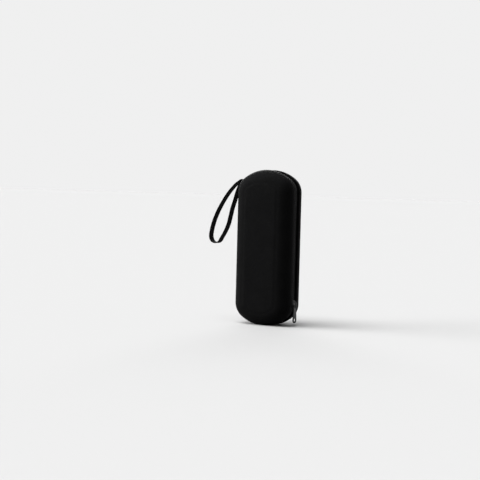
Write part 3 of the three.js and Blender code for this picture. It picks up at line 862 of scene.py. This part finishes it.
class CASE_OT_stage(CaseOperator):
    """Camera, lamps, world and a pale floor"""

    bl_idname = "cooling_case.stage"
    bl_label = "Stage"

    azimuth, elevation, roll = 31.0, 2.5, 1.5
    lens, sensor = 85.0, 36.0
    frame_height = 642 * MM  # what the picture spans at the case
    aside, above = -38.2 * MM, 8.6 * MM  # from the case's middle to the middle of the picture
    lamps = (  # name, azimuth, elevation, power, softness: for the floor, the face, and from behind
        ("top", -40, 72, 2.8, 45), ("key", -62, 14, 3.4, 50), ("back", -150, 15, 2.4, 50),
    )
    ambient = 0.1
    floor_bounce = 0.12  # how pale the floor is to the light that it throws back at the case
    floor_reach = 40.0

    def execute(self, context):
        scene = context.scene
        scene.view_settings.view_transform = "Standard"
        self.camera(scene)
        for name, azimuth, elevation, power, softness in self.lamps:
            data = bpy.data.lights.new(name, "SUN")
            data.energy, data.angle = power, math.radians(softness)
            lamp = linked(name, data)
            lamp.location = direction(azimuth, elevation)
            lamp.rotation_euler = (-lamp.location).to_track_quat("-Z", "Y").to_euler()
        self.world(scene)
        self.floor()
        return {"FINISHED"}

    def camera(self, scene):
        back, right = direction(self.azimuth, self.elevation), direction(self.azimuth + 90, 0)
        data = bpy.data.cameras.new("camera")
        data.lens, data.sensor_width = self.lens, self.sensor
        camera = scene.camera = linked("camera", data)
        target = UP * SHELL_HIGH.z / 2 + right * self.aside + UP * self.above
        camera.location = target + back * self.frame_height * self.lens / self.sensor
        roll = Matrix.Rotation(math.radians(self.roll), 3, "Z")
        camera.rotation_euler = ((-back).to_track_quat("-Z", "Y").to_matrix() @ roll).to_euler()

    @staticmethod
    def seen(nodes):
        """1 for what the camera, a mirror or glass shows, and 0 for the light that falls on the case."""
        path = nodes.add("LightPath").outputs
        through = nodes.maths("MAXIMUM", path["Is Camera Ray"], path["Is Transmission Ray"])
        return nodes.maths("MAXIMUM", through, path["Is Glossy Ray"])

    def world(self, scene):
        """Weak even light, and a pale backdrop."""
        world = scene.world = bpy.data.worlds.new("studio")
        world.use_nodes = True
        world.node_tree.nodes.clear()
        nodes = Nodes(world.node_tree)
        strength = nodes.span(self.seen(nodes), 0.0, 1.0, self.ambient, 1.0)
        backdrop = nodes.add("Background", {"Color": (*colours().backdrop, 1), "Strength": strength})
        nodes.feed(nodes.add("OutputWorld"), Surface=backdrop.outputs[0])

    def floor(self):
        bm = bmesh.new()
        bmesh.ops.create_grid(bm, x_segments=2, y_segments=2, size=self.floor_reach)
        nodes, shader = finish("floor", 0.9, Specular_IOR_Level=0.0)
        bounce = (*[self.floor_bounce] * 3, 1)
        nodes.feed(shader, Base_Color=nodes.mix(self.seen(nodes), bounce, (*colours().floor, 1)))
        obj = linked("floor", smooth_mesh(bm, "floor"))
        obj.data.materials.append(MATERIALS["floor"])


class CASE_OT_strap(CaseOperator):
    """Wrist strap: the sewn-in end and the loop of flat webbing"""

    bl_idname = "cooling_case.strap"
    bl_label = "Wrist strap"

    width = 10.5 * MM
    thickness = 1.1 * MM
    tab_thickness_share = 1.9
    tab_steps = 12
    turn_share = 0.3  # of the tab lies before it starts to turn
    gap = 0.9 * MM  # from the tab's solid to the loop's
    angle = math.radians(36)
    depth = 4.6 * MM  # of the tab, behind the middle of the seam
    stand_out = 2 * MM
    lean = Vector((-3.5, -1.2, 0.4)) * MM
    reach, drop, forward = 48 * MM, 87.6 * MM, 2.9 * MM
    forward_share = 0.15
    route_shares = (
        (0, 0), (0.04, 0.004), (0.11, 0.033), (0.216, 0.08), (0.424, 0.202), (0.59, 0.326),
        (0.727, 0.448), (0.842, 0.571), (0.93, 0.694), (0.99, 0.826), (1, 0.913), (0.94, 0.976),
        (0.818, 1), (0.707, 0.976), (0.646, 0.924), (0.525, 0.817), (0.424, 0.694), (0.364, 0.571),
        (0.309, 0.448), (0.232, 0.326), (0.162, 0.2), (0.1, 0.1), (0.05, 0.028), (0, 0.0155),
    )
    steps = 7
    sewn_in = 1.5 * MM  # how far the loop's ends reach back, over the gap and into the tab
    crumpled = 0.28  # of its width is left when the open lid pushes the strap forward
    tack_points = (9, 16)  # of the loop's line
    tack_threads, tack_pitch = 9, 0.75 * MM
    tack_thread = 1.6 * MM, 0.4 * MM, 0.3 * MM
    tack_lift_share = 0.6  # of the webbing's thickness

    def execute(self, context):
        s, outline = sizes(), Outline()
        at = outline.side / 2 + self.angle * s.corner_radius
        inside, out = outline.at(at, s.shell_wall)
        outside, _ = outline.at(at, -self.stand_out)
        inside.y = outside.y = self.depth
        pivot = outside + self.lean
        self.tab([inside, outside, pivot], Vector((out.z, 0, -out.x)))
        self.loop(pivot, (pivot - outside).normalized())
        return {"FINISHED"}

    def tab(self, points, along_seam):
        """The folded end: it lies along the seam where it is sewn in and turns across it outside."""
        middles, wides = [], []
        for k in range(self.tab_steps + 1):
            share = k / self.tab_steps
            first = min(int(2 * share), 1)
            middles.append(points[first].lerp(points[first + 1], 2 * share - first))
            turn = smooth((share - self.turn_share) / (1 - self.turn_share))
            wides.append(along_seam.lerp(ALONG_Y, turn).normalized())
        bm = twisted_ribbon(middles, wides, self.width)
        tab = piece("strap_end", bm, "case_back", "webbing", "strap_tab")
        thicken(tab, self.tab_thickness_share * self.thickness, 0.35 * MM)

    def centreline(self, start):
        """The loop's line through its route points, smooth at every one."""
        last = len(self.route_shares) - 1
        top = start.z + self.route_shares[-1][1] * self.drop / 2
        knots = []
        for k, (out, down) in enumerate(self.route_shares):
            ahead = smooth(min(k / last, 1 - k / last) / self.forward_share) * self.forward
            knots.append(Vector((start.x - out * self.reach, start.y - ahead, top - down * self.drop)))
        points = []
        for before, a, b, after in zip([knots[0], *knots], knots, knots[1:], [*knots[2:], knots[-1]]):
            slope, bend = b - before, 2 * before - 5 * a + 4 * b - after
            swing = 3 * a - before - 3 * b + after
            for i in range(self.steps):
                t = i / self.steps
                points.append(0.5 * (2 * a + slope * t + bend * t * t + swing * t ** 3))
        return [*points, knots[-1]]

    def loop(self, pivot, heading):
        points = self.centreline(pivot + heading * self.gap)
        inwards = heading * self.sewn_in
        low = [p - ALONG_Y * self.width / 2 for p in (points[0] - inwards, *points, points[-1] - inwards)]
        loop = strip(
            "strap_loop", low, ALONG_Y, self.width, self.thickness, "strap", "webbing", "wrist_strap",
            steps=4, soft=0.3 * MM,
        )
        for soft in (loop, self.tacks(points)):
            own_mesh(soft)

    def tacks(self, points):
        """Two bars of thread that hold the strap's ends together at the tab."""
        bm = bmesh.new()
        for k in self.tack_points:
            along = points[k + 1] - points[k]
            out = ALONG_Y.cross(along).normalized()
            lifted = points[k] + out * self.tack_lift_share * self.thickness
            for i in range(self.tack_threads):
                across = ALONG_Y * (i - self.tack_threads // 2) * self.tack_pitch
                rounded_bar(bm, *self.tack_thread, placed(lifted + across, along, out))
        return piece("strap_tacks", bm, "strap", "webbing", made_of="thread")


class CASE_OT_shells(CaseOperator):
    """The two moulded shells with their woven skin"""

    bl_idname = "cooling_case.shells"
    bl_label = "Shells"

    round_steps, hollow_steps, rim_steps = 14, 8, 4
    crown_shares = (0.4, 0.3, 0.2, 0.1)
    seam_back = 3.0 * MM  # of the row of stitches, from the rim
    seam_steps = 420
    seam_foot = 0.6 * MM  # no stitch lies lower

    def execute(self, context):
        for half in HALVES:
            self.shell(half)
            self.stitching(half)
        return {"FINISHED"}

    def shell(self, half):
        s = sizes()
        straight = s.half_depth - s.edge_radius - s.half_seam - s.rim_round
        step = (s.crown_inset - s.edge_radius) / len(self.crown_shares)
        crown = [(step, s.crown * share) for share in self.crown_shares]
        bm, face = Outline().route(0, half.side * (s.half_seam + s.rim_round)).face(half.away)
        press(bm, face, [(0, straight), *edge_profile(s.edge_radius, self.round_steps), *crown])
        up = edge_profile(s.rim_round, self.rim_steps)
        down = [(b, -a) for a, b in up]
        rim = [*up, (s.shell_wall - 2 * s.rim_round, 0), *down]
        hollow = edge_profile(s.edge_radius - s.shell_wall, self.hollow_steps, way=-1)
        press(bm, open_rim(bm, -half.away), [*rim, (0, -straight), *hollow])
        cut_foot(bm)
        piece(f"{half.name}_shell_skin", bm, half.body, "shell_cloth", f"{half.name}_shell")

    def stitching(self, half):
        """A row of thread round the shell, just behind its rim, and not over the foot."""
        s = sizes()
        back = s.half_seam + self.seam_back
        past = max(back - (s.half_depth - s.edge_radius), 0)
        inset = s.edge_radius - math.sqrt(s.edge_radius ** 2 - past ** 2)
        around = Outline().around(inset, half.side * back, self.seam_steps)
        runs = groupby(around, key=lambda place: place[0].z > self.seam_foot)
        lines = [list(run) for above, run in runs if above]
        stitches(f"{half.name}_shell_stitches", lines, half.body, "shell_cloth", sink=-0.2)


class CASE_OT_liners(CaseOperator):
    """Foil-faced foam liners and the cloth binding over their edges"""

    bl_idname = "cooling_case.liners"
    bl_label = "Liners"

    rim_soft = 0.6 * MM
    floor_border = 2 * MM
    outer_steps, inner_steps = 10, 12
    seam_share = 0.45  # of the binding's width

    def execute(self, context):
        for half in HALVES:
            self.liner(half)
            self.binding(half)
        return {"FINISHED"}

    def liner(self, half):
        s, soft = sizes(), self.rim_soft
        inset = s.shell_wall + s.fit
        near = s.half_seam + s.tape_tuck + s.fit
        past = near - (s.half_depth - s.edge_radius)
        outer = s.edge_radius - inset
        inner = outer - s.liner_wall
        start, start_in = math.asin(past / outer), math.asin(past / inner)
        lean = outer * (1 - math.cos(start))
        flat = s.liner_wall + inner * (1 - math.cos(start_in)) - lean
        bm, face = Outline().route(inset + lean, half.side * near).face(half.away)
        press(bm, face, edge_profile(outer, self.outer_steps, start))
        rim = [(soft, 0), (flat - 2 * soft, 0), (soft, 0)]
        hollow = edge_profile(inner, self.inner_steps, start_in, way=-1)
        border = [(self.floor_border, 0)] * 2
        grid_cut(bm, press(bm, open_rim(bm, -half.away), [*rim, *hollow, *border]), 4 * MM)
        cut_foot(bm)
        ruffle(bm, 0.22 * MM, 190.0, 3.0 + half.side)
        piece(f"{half.name}_foil_liner", bm, half.body, "foil_foam", f"{half.name}_liner")

    def binding(self, half):
        """A strip of cloth that holds the edge of the foil and the foot of the zip tape."""
        s = sizes()
        inset = s.shell_wall + 2 * s.fit + s.tape_thickness + s.binding_thickness / 2
        near = s.half_seam + s.tape_tuck - s.binding_width
        edging(
            "binding", half, inset, near, s.binding_width, s.binding_thickness, s.fit,
            f"{half.name}_edge_binding", steps=3, soft=0.3 * MM,
        )
        depth = half.side * (near + self.seam_share * s.binding_width)
        around = Outline().around(inset + s.binding_thickness / 2, depth, 360, s.fit)
        line = [(point, -out) for point, out in around]
        stitches(f"{half.name}_binding_stitches", [line], half.body, "zip_tape")


class CASE_OT_zip(CaseOperator):
    """Zip tapes, their two rows of teeth and the stops"""

    bl_idname = "cooling_case.zip"
    bl_label = "Zip"

    tooth_shares = (  # of a tooth's width and height, from its foot on the cord to its head
        (1.15, 0.9), (1.2, 1.0), (0.82, 0.92), (0.8, 0.92), (1.12, 1.0), (0.86, 0.8),
    )
    tooth_soft = 0.16 * MM
    cord_margin = 0.2 * MM  # of tooth past the cord on both sides
    cord_sink_share, cord_height_share = 0.3, 0.55  # of a tooth's height

    def execute(self, context):
        for half, phase in zip(HALVES, (0, 0.5)):
            self.tape(half)
            self.teeth(half, phase)
            self.cord(half)
            self.stops(half)
        return {"FINISHED"}

    @staticmethod
    def chain():
        """How far from the middle of the hinge side the stops start, and the teeth."""
        s = sizes()
        first = s.hinge_length / 2 + s.chain_gap
        return first, first + s.stop_length + s.fit

    def tape(self, half):
        s = sizes()
        inset = s.shell_wall + s.fit + s.tape_thickness / 2
        width = s.half_seam + s.tape_tuck - s.tape_edge
        edging(
            "tape", half, inset, s.tape_edge, width, s.tape_thickness, s.hinge_length / 2 + s.fit,
            f"{half.name}_zip_tape", steps=5, soft=0.15 * MM, segments=1,
        )

    def tooth(self):
        """One moulded tooth: a foot that grips the cord, a neck, and a head that locks behind its neighbours.
        Its X runs along the zip, its Y to the other row, its Z off the tape."""
        s, sections = sizes(), len(self.tooth_shares) - 1
        reach = s.cord_outer + s.tooth_reach
        bm = bmesh.new()
        bmesh.ops.create_cube(bm, size=1, matrix=Matrix.Diagonal((s.tooth_width, reach, s.tooth_height, 1)))
        lengthwise = [e for e in bm.edges if abs((e.verts[0].co - e.verts[1].co).y) > reach / 2]
        bmesh.ops.subdivide_edges(bm, edges=lengthwise, cuts=sections - 1)
        for v in bm.verts:
            wide, high = self.tooth_shares[round((v.co.y / reach + 0.5) * sections)]
            v.co.x *= wide
            if v.co.z > 0:
                v.co.z *= high
        outer = [e for e in sharp_edges(bm) if all(v.co.z > 0 for v in e.verts)]
        bevel(bm, outer, self.tooth_soft)
        return as_mesh(bm)

    def teeth(self, half, phase):
        s, outline = sizes(), Outline()
        start = self.chain()[1]
        count = int((outline.length - 2 * start - s.tooth_pitch) / s.tooth_pitch)
        aside = half.away * (s.cord_outer - s.tooth_reach) / 2
        tooth = self.tooth()
        bm = bmesh.new()
        for k in range(count):
            at = start + s.tooth_pitch * (k + phase + 0.5)
            point, out = outline.at(at, s.shell_wall - s.tooth_height / 2)
            before = len(bm.verts)
            bm.from_mesh(tooth)
            bm.verts.ensure_lookup_table()
            matrix = placed(point + aside, out.cross(half.away), out)
            bmesh.ops.transform(bm, matrix=matrix, verts=bm.verts[before:])
        bpy.data.meshes.remove(tooth)
        piece(f"{half.name}_teeth", bm, half.body, "zip_teeth", f"{half.name}_zip_teeth")

    def cord(self, half):
        """The corded edge of the tape, which the teeth are moulded round."""
        s = sizes()
        edging(
            "cord", half, s.shell_wall - s.tooth_height * self.cord_sink_share,
            s.cord_inner + self.cord_margin, s.cord_outer - s.cord_inner - 2 * self.cord_margin,
            s.tooth_height * self.cord_height_share, self.chain()[1], steps=2, soft=0.25 * MM,
        )

    def stops(self, half):
        """Folded metal stops at both ends of the chain."""
        s, outline = sizes(), Outline()
        first = self.chain()[0]
        for label, at in (("top", first), ("bottom", outline.length - first - s.stop_length)):
            bm = bmesh.new()
            point, out = outline.at(at + s.stop_length / 2, s.shell_wall - s.tooth_height / 2)
            point += half.away * (s.cord_inner + s.cord_outer) / 2
            matrix = placed(point, ALONG_Y.cross(out), out)
            rounded_bar(bm, s.stop_length, s.cord_outer - s.cord_inner, s.tooth_height, matrix, segments=3)
            name, node = f"{half.name}_{label}_stop", f"{half.name}_stop_{label}"
            piece(name, bm, half.body, "slider_metal", node)


class CASE_OT_slider(CaseOperator):
    """The slider's two plates and its bail"""

    bl_idname = "cooling_case.slider"
    bl_label = "Slider"

    plate_thickness = 1.2 * MM
    shoulder = 1.5 * MM
    nose_shares = ((1, 1), (0.82, 0.35), (0.5, 0), (-0.5, 0), (-0.82, 0.35), (-1, 1))
    flange_thickness = 0.8 * MM
    flange_end = 3 * MM  # the flange is shorter than the plate by this, at the nose
    wire, wire_bend = 1.1 * MM, 1.0 * MM

    def execute(self, context):
        low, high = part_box("slider_top_plate")
        top = self.plate("slider_top_plate", self.plate_thickness, 3 * MM, 0.35 * MM)
        self.flange(top, low, high)
        piece("slider_top", top, "slider", "slider_metal", "slider_top_plate")
        low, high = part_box("slider_back_plate")
        back = self.plate("slider_back_plate", high.x - low.x, 2 * MM, 0.2 * MM)
        piece("slider_back", back, "slider", "slider_metal", "slider_back_plate")
        self.bail()
        return {"FINISHED"}

    def plate(self, node, thickness, nose, soft):
        """A plate in the shape of a shield: square shoulders below, tapered towards the closed teeth's end."""
        low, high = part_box(node)
        half, r = (high.y - low.y) / 2, self.shoulder

        def spot(y, z):
            return Vector((high.x - thickness, y, z))

        route = Route(spot(-half, low.z + r)).arc(spot(r - half, low.z + r), ALONG_X, QUARTER, 6)
        route.line(spot(half - r, low.z)).arc(spot(half - r, low.z + r), ALONG_X, QUARTER, 6)
        route.line(*[spot(y * half, high.z - down * nose) for y, down in self.nose_shares]).close()
        bm = slab(route, ALONG_X * thickness)
        bevel(bm, sharp_edges(bm, 50), soft, 3)
        return bm

    def flange(self, bm, low, high):
        """The guide that runs down beside the teeth on the rear half's side."""
        s = sizes()
        height = high.x - low.x - 0.75 * self.plate_thickness
        aside = s.cord_outer + s.fit + self.flange_thickness / 2
        middle = Vector((low.x + height / 2, aside, (low.z + high.z - self.flange_end) / 2))
        length = high.z - low.z - self.flange_end
        matrix = placed(middle, UP, ALONG_X)
        rounded_bar(bm, length, self.flange_thickness, height, matrix, segments=2)

    def bail(self):
        low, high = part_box("slider_bail")
        wire, r = self.wire, self.wire_bend
        left, right, top = low.z + wire / 2, high.z - wire / 2, high.x - wire / 2

        def spot(x, z):
            return Vector((x, low.y, z))

        route = Route(spot(low.x, left)).line(spot(top - r, left))
        route.arc(spot(top - r, left + r), ALONG_Y, -QUARTER, 6).line(spot(top, right - r))
        route.arc(spot(top - r, right - r), ALONG_Y, -QUARTER, 6).line(spot(low.x, right))
        strip(
            "slider_arch", route.points(), ALONG_Y, high.y - low.y, wire, "slider", "slider_metal",
            "slider_bail", steps=2, soft=0.32 * MM, segments=3,
        )


class CASE_OT_pull(CaseOperator):
    """The pull: a bar in the bail, two cheeks, and a blade that widens to a round hole"""

    bl_idname = "cooling_case.pull"
    bl_label = "Pull"

    bar = 1.4 * MM
    eye_width, eye_height = 2.9 * MM, 3.1 * MM
    hole = 4.6 * MM
    rim = 2 * MM
    top_width = 5.9 * MM
    shoulder = 1.3 * MM

    def execute(self, context):
        low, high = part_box("zip_pull")
        bottom, top, r = (high.y - low.y) / 2, self.top_width / 2, self.shoulder

        def spot(y, z):
            return Vector((low.x, y, z))

        middle = spot(0, low.z + bottom)
        route = Route(middle - ALONG_Y * bottom).arc(middle, ALONG_X, math.pi, 28)
        route.line(spot(top, high.z - r)).arc(spot(top - r, high.z - r), ALONG_X, QUARTER, 6)
        route.line(spot(r - top, high.z)).arc(spot(r - top, high.z - r), ALONG_X, QUARTER, 6).close()
        centre = spot(0, low.z + self.rim + self.hole / 2)
        ring = Route(centre + ALONG_Y * self.hole / 2).arc(centre, ALONG_X, 2 * math.pi, 28)
        half, upper = self.eye_width / 2, high.z - self.bar
        lower = upper - self.eye_height
        eye = Route(spot(-half, lower)).line(spot(half, lower), spot(half, upper), spot(-half, upper)).close()
        bm = slab(route, ALONG_X * (high.x - low.x), [ring, eye])
        bevel(bm, sharp_edges(bm, 50), 0.3 * MM, 3)
        piece("pull_blade", bm, "pull", "slider_metal", "zip_pull")
        return {"FINISHED"}


class CASE_OT_gel_packs(CaseOperator):
    """Two film pouches full of gel, with welded edges"""

    bl_idname = "cooling_case.gel_packs"
    bl_label = "Gel packs"

    seal = 4 * MM
    seal_thickness = 1 * MM
    gap = 4 * MM
    swell_steps = ((0.7 * MM, 0.34), (1.0 * MM, 0.3), (1.3 * MM, 0.2), (1.6 * MM, 0.1), (2.2 * MM, 0.06))
    fold_depth = 0.28 * MM

    def execute(self, context):
        for half in HALVES:
            self.pack(half)
        return {"FINISHED"}

    def pack(self, half):
        s = sizes()
        low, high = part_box(f"{half.name}_gel_pack")
        middle, thin = (low.y + high.y) / 2, self.seal_thickness / 2
        rise = (high.y - low.y) / 2 - thin
        edge = s.shell_wall + s.fit + s.liner_wall + self.gap
        bm, face = Outline().route(edge, middle).face(ALONG_Y)
        weld_steps = [(0, thin), (self.seal / 2, 0), (self.seal / 2, 0)]
        swell = weld_steps + [(step, rise * share) for step, share in self.swell_steps]
        front = press(bm, face, swell)
        back = press(bm, open_rim(bm, -ALONG_Y), swell)
        for flat in (front, back):
            grid_cut(bm, flat, 3.5 * MM)

        def filled_part(v):
            """Little on the weld, and 1 on the filled body."""
            return 1.0 if abs(v.co.y - middle) > 1.4 * thin else 0.12

        ruffle(bm, 0.9 * MM, 75.0, 5.0 + half.side, filled_part)
        ruffle(bm, 0.45 * MM, 240.0, 9.0 + half.side, filled_part)
        self.pucker(bm, Vector((0, middle, Outline().middle)), thin)
        for v in bm.verts:
            v.co.y = min(max(v.co.y, low.y), high.y)
        pouch = piece(f"{half.name}_gel_pouch", bm, half.body, "gel_film", f"{half.name}_gel_pack")

    def pucker(self, bm, middle, thin):
        """Short folds that run from the weld into the swelling."""
        for v in bm.verts:
            if thin * 1.2 < abs(v.co.y - middle.y) < thin * 6:
                angle = math.atan2(v.co.z - middle.z, v.co.x)
                fold = math.sin(angle * 46) * 0.5 + math.sin(angle * 29 + 1.3) * 0.5
                v.co.y += math.copysign(self.fold_depth * fold, middle.y - v.co.y)


class CASE_OT_divider(CaseOperator):
    """The divider over the rear gel pack and its two elastic bands for pens"""

    bl_idname = "cooling_case.divider"
    bl_label = "Divider and pen bands"

    edge_steps = [(0.1 * MM, 0.25 * MM), (0.35 * MM, 0.2 * MM)]
    back_border = 5 * MM
    bound = [(2.6 * MM, 0), (0.3 * MM, -0.35 * MM), (4 * MM, 0.2 * MM)]  # the binding, and the step beside it
    seam_inset = 1.6 * MM
    pen = 15.4 * MM
    band = 1.1 * MM
    foot = 3.6 * MM
    loops = 3
    tack_aside, tack_end = 0.8 * MM, 1 * MM

    def execute(self, context):
        self.panel()
        for name in ("lower", "upper"):
            self.elastic_band(name)
        return {"FINISHED"}

    def panel(self):
        low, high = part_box("pen_panel")
        inset = sizes().width / 2 - high.x
        soft = sum(depth for _, depth in self.edge_steps)
        outline = Outline()
        bm, face = outline.route(inset, high.y - soft).face(ALONG_Y)
        press(bm, face, [*self.edge_steps, (self.back_border, 0)])
        straight = (0, high.y - low.y - 2 * soft)
        front = press(bm, open_rim(bm, -ALONG_Y), [straight, *self.edge_steps, *self.bound])
        grid_cut(bm, front, 6 * MM)
        piece("divider_panel", bm, "case_back", "divider_cloth", "pen_panel")
        line = [(point, -ALONG_Y) for point, _ in outline.around(inset + self.seam_inset, low.y, 360)]
        stitches("divider_stitches", [line], "case_back", "divider_cloth")

    def elastic_band(self, name):
        """A band that is sewn down between its loops."""
        node = f"{name}_pen_band"
        low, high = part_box(node)
        pitch = self.pen + 2 * self.band + self.foot
        base, radius = high.y - self.band / 2, (self.pen + self.band) / 2
        leg = high.y - low.y - self.band - self.pen / 2

        def spot(x, up=0.0, z=low.z):
            return Vector((x, base - up, z))

        route = Route(spot(low.x))
        for k in range(self.loops):
            centre = (k - (self.loops - 1) / 2) * pitch
            left, right, start = centre - radius, centre + radius, route.path[-1].co.x
            route.line(spot((start + left) / 2), spot(left), spot(left, leg / 2), spot(left, leg))
            route.arc(spot(centre, leg), UP, math.pi, 18).line(spot(right, leg / 2), spot(right))
        route.line(spot(high.x))
        strip(
            f"{name}_elastic_band", route.points(), UP, high.z - low.z, self.band, "case_back", "elastic",
            node, steps=6, soft=0.25 * MM,
        )
        places = [(k - self.loops / 2) * pitch for k in range(self.loops + 1)]
        rows = [x + aside for x in places for aside in (-self.tack_aside, self.tack_aside)]
        ends = low.z + self.tack_end, high.z - self.tack_end
        lines = [[(spot(x, self.band / 2, z), -ALONG_Y) for z in ends] for x in rows]
        stitches(f"{name}_band_stitches", lines, "case_back", "elastic", stitch=1.6 * MM, gap=0.6 * MM)


class CASE_OT_pocket(CaseOperator):
    """Net pocket over the lid's gel pack, with an elastic edge"""

    bl_idname = "cooling_case.pocket"
    bl_label = "Net pocket"

    cell = 4.2 * MM
    strand = 0.55 * MM
    border = 5 * MM
    overlap = 1 * MM  # of the cells over the border
    top_gap = 2 * MM  # from the cells to the open top
    ripple, ripple_length = 0.18 * MM, MM / 1.7
    edge_thickness_share = 0.55

    def execute(self, context):
        self.net()
        self.edge()
        return {"FINISHED"}

    def net(self):
        """Woven cells inside a doubled border that is sewn down on three sides."""
        s, outline = sizes(), Outline()
        low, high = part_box("pocket_net")
        inset = s.width / 2 - high.x
        middle = Vector((0, (low.y + high.y) / 2, outline.middle))
        bm, face = outline.route(inset, middle.y).face()
        press(bm, face, [(self.border, 0)])
        bmesh.ops.delete(bm, geom=[face], context="FACES_ONLY")
        split(bm, UP * high.z, UP, clear_outer=True)
        thicken(piece("net_border", bm, "lid", "net", "pocket_net"), high.y - low.y)
        cells = bmesh.new()
        side = self.cell / math.sqrt(2)
        count = 2 * int(s.width / side) + int(s.height / side)
        grid = bmesh.ops.create_grid(cells, x_segments=count, y_segments=count, size=count * side / 2)
        turn = Matrix.Rotation(QUARTER, 4, "X") @ Matrix.Rotation(QUARTER / 2, 4, "Z")
        bmesh.ops.transform(cells, matrix=Matrix.Translation(middle) @ turn, verts=grid["verts"])
        inner, top = inset + self.border - self.overlap, high.z - self.top_gap
        outside = [v for v in cells.verts if outline.inset_of(v.co) < inner or v.co.z > top]
        bmesh.ops.delete(cells, geom=outside, context="VERTS")
        wires = piece("net_cells", cells, "lid", "net").modifiers.new("Strands", "WIREFRAME")
        wires.thickness = self.strand
        wires.use_even_offset = False
        wires.use_boundary = True

    def edge(self):
        low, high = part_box("pocket_elastic")
        depth, height = (low.y + high.y) / 2, high.z - low.z
        points = even_points(Vector((low.x, depth, low.z)), Vector((high.x, depth, low.z)), 60)
        bm = ribbon(points, UP, height, steps=4)
        for v in bm.verts:
            bulge = math.sin((v.co.z - low.z) / height * math.pi)
            v.co.y += self.ripple * math.sin(v.co.x / self.ripple_length) * bulge
        obj = piece("pocket_edge", bm, "lid", "elastic", "pocket_elastic")
        thicken(obj, self.edge_thickness_share * (high.y - low.y), 0.15 * MM)


class CASE_OT_hinge(CaseOperator):
    """Cloth hinge between the halves"""

    bl_idname = "cooling_case.hinge"
    bl_label = "Cloth hinge"

    bend = 5 * MM  # the cloth bends between this far behind the seam and this far before it
    patch_bend = 3 * MM
    patch_length = 22.5 * MM
    patch_overlap = 2 * MM  # behind the hinge cloth
    patch_width = 9 * MM
    patch_thickness = 0.5 * MM

    def execute(self, context):
        low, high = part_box("hinge_cloth")
        x = (low.x + high.x) / 2
        points = even_points(Vector((x, low.y, low.z)), Vector((x, low.y, high.z)), 40)
        cloth = strip(
            "cloth_hinge", points, ALONG_Y, high.y - low.y, high.x - low.x, None, "zip_tape", "hinge_cloth",
            steps=24, soft=0.15 * MM, segments=1,
        )
        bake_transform(cloth)
        self.end_patch("hinge_top_patch", high.x, high.z - self.patch_overlap)
        self.end_patch("hinge_bottom_patch", high.x, low.z + self.patch_overlap - self.patch_length)
        return {"FINISHED"}

    def end_patch(self, name, x, z):
        """Cloth behind the slit between the tapes' ends and behind the first teeth."""
        x += sizes().fit + self.patch_thickness / 2
        start = Vector((x, -self.patch_width / 2, z))
        patch = strip(
            name, even_points(start, start + UP * self.patch_length, 6), ALONG_Y, self.patch_width,
            self.patch_thickness, None, "zip_tape", steps=12, soft=0.1 * MM, segments=1,
        )
        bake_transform(patch)


class CASE_PT_panel(bpy.types.Panel):
    """Lists the pieces of the case"""

    bl_label = "Cooling case"
    bl_space_type = "VIEW_3D"
    bl_region_type = "UI"
    bl_category = "Cooling case"

    def draw(self, context):
        for group in (sizes(), colours()):
            for name in group.__annotations__:
                self.layout.prop(group, name)
        for operator in OPERATORS:
            self.layout.operator(operator.bl_idname)


OPERATORS = (
    CASE_OT_stage, CASE_OT_strap, CASE_OT_shells, CASE_OT_liners, CASE_OT_zip, CASE_OT_slider,
    CASE_OT_pull, CASE_OT_gel_packs, CASE_OT_divider, CASE_OT_pocket, CASE_OT_hinge,
)
CLASSES = (CaseSizes, CaseColours, *OPERATORS, CASE_PT_panel)


def register():
    for cls in CLASSES:
        bpy.utils.register_class(cls)
    bpy.types.Scene.cooling_case_sizes = bpy.props.PointerProperty(type=CaseSizes)
    bpy.types.Scene.cooling_case_colours = bpy.props.PointerProperty(type=CaseColours)


def unregister():
    del bpy.types.Scene.cooling_case_colours
    del bpy.types.Scene.cooling_case_sizes
    for cls in reversed(CLASSES):
        bpy.utils.unregister_class(cls)


def main():
    """Builds the whole case."""
    register()
    make_materials()
    for operator in OPERATORS:
        family, name = operator.bl_idname.split(".")
        getattr(getattr(bpy.ops, family), name)()


if __name__ == "__main__":
    main()
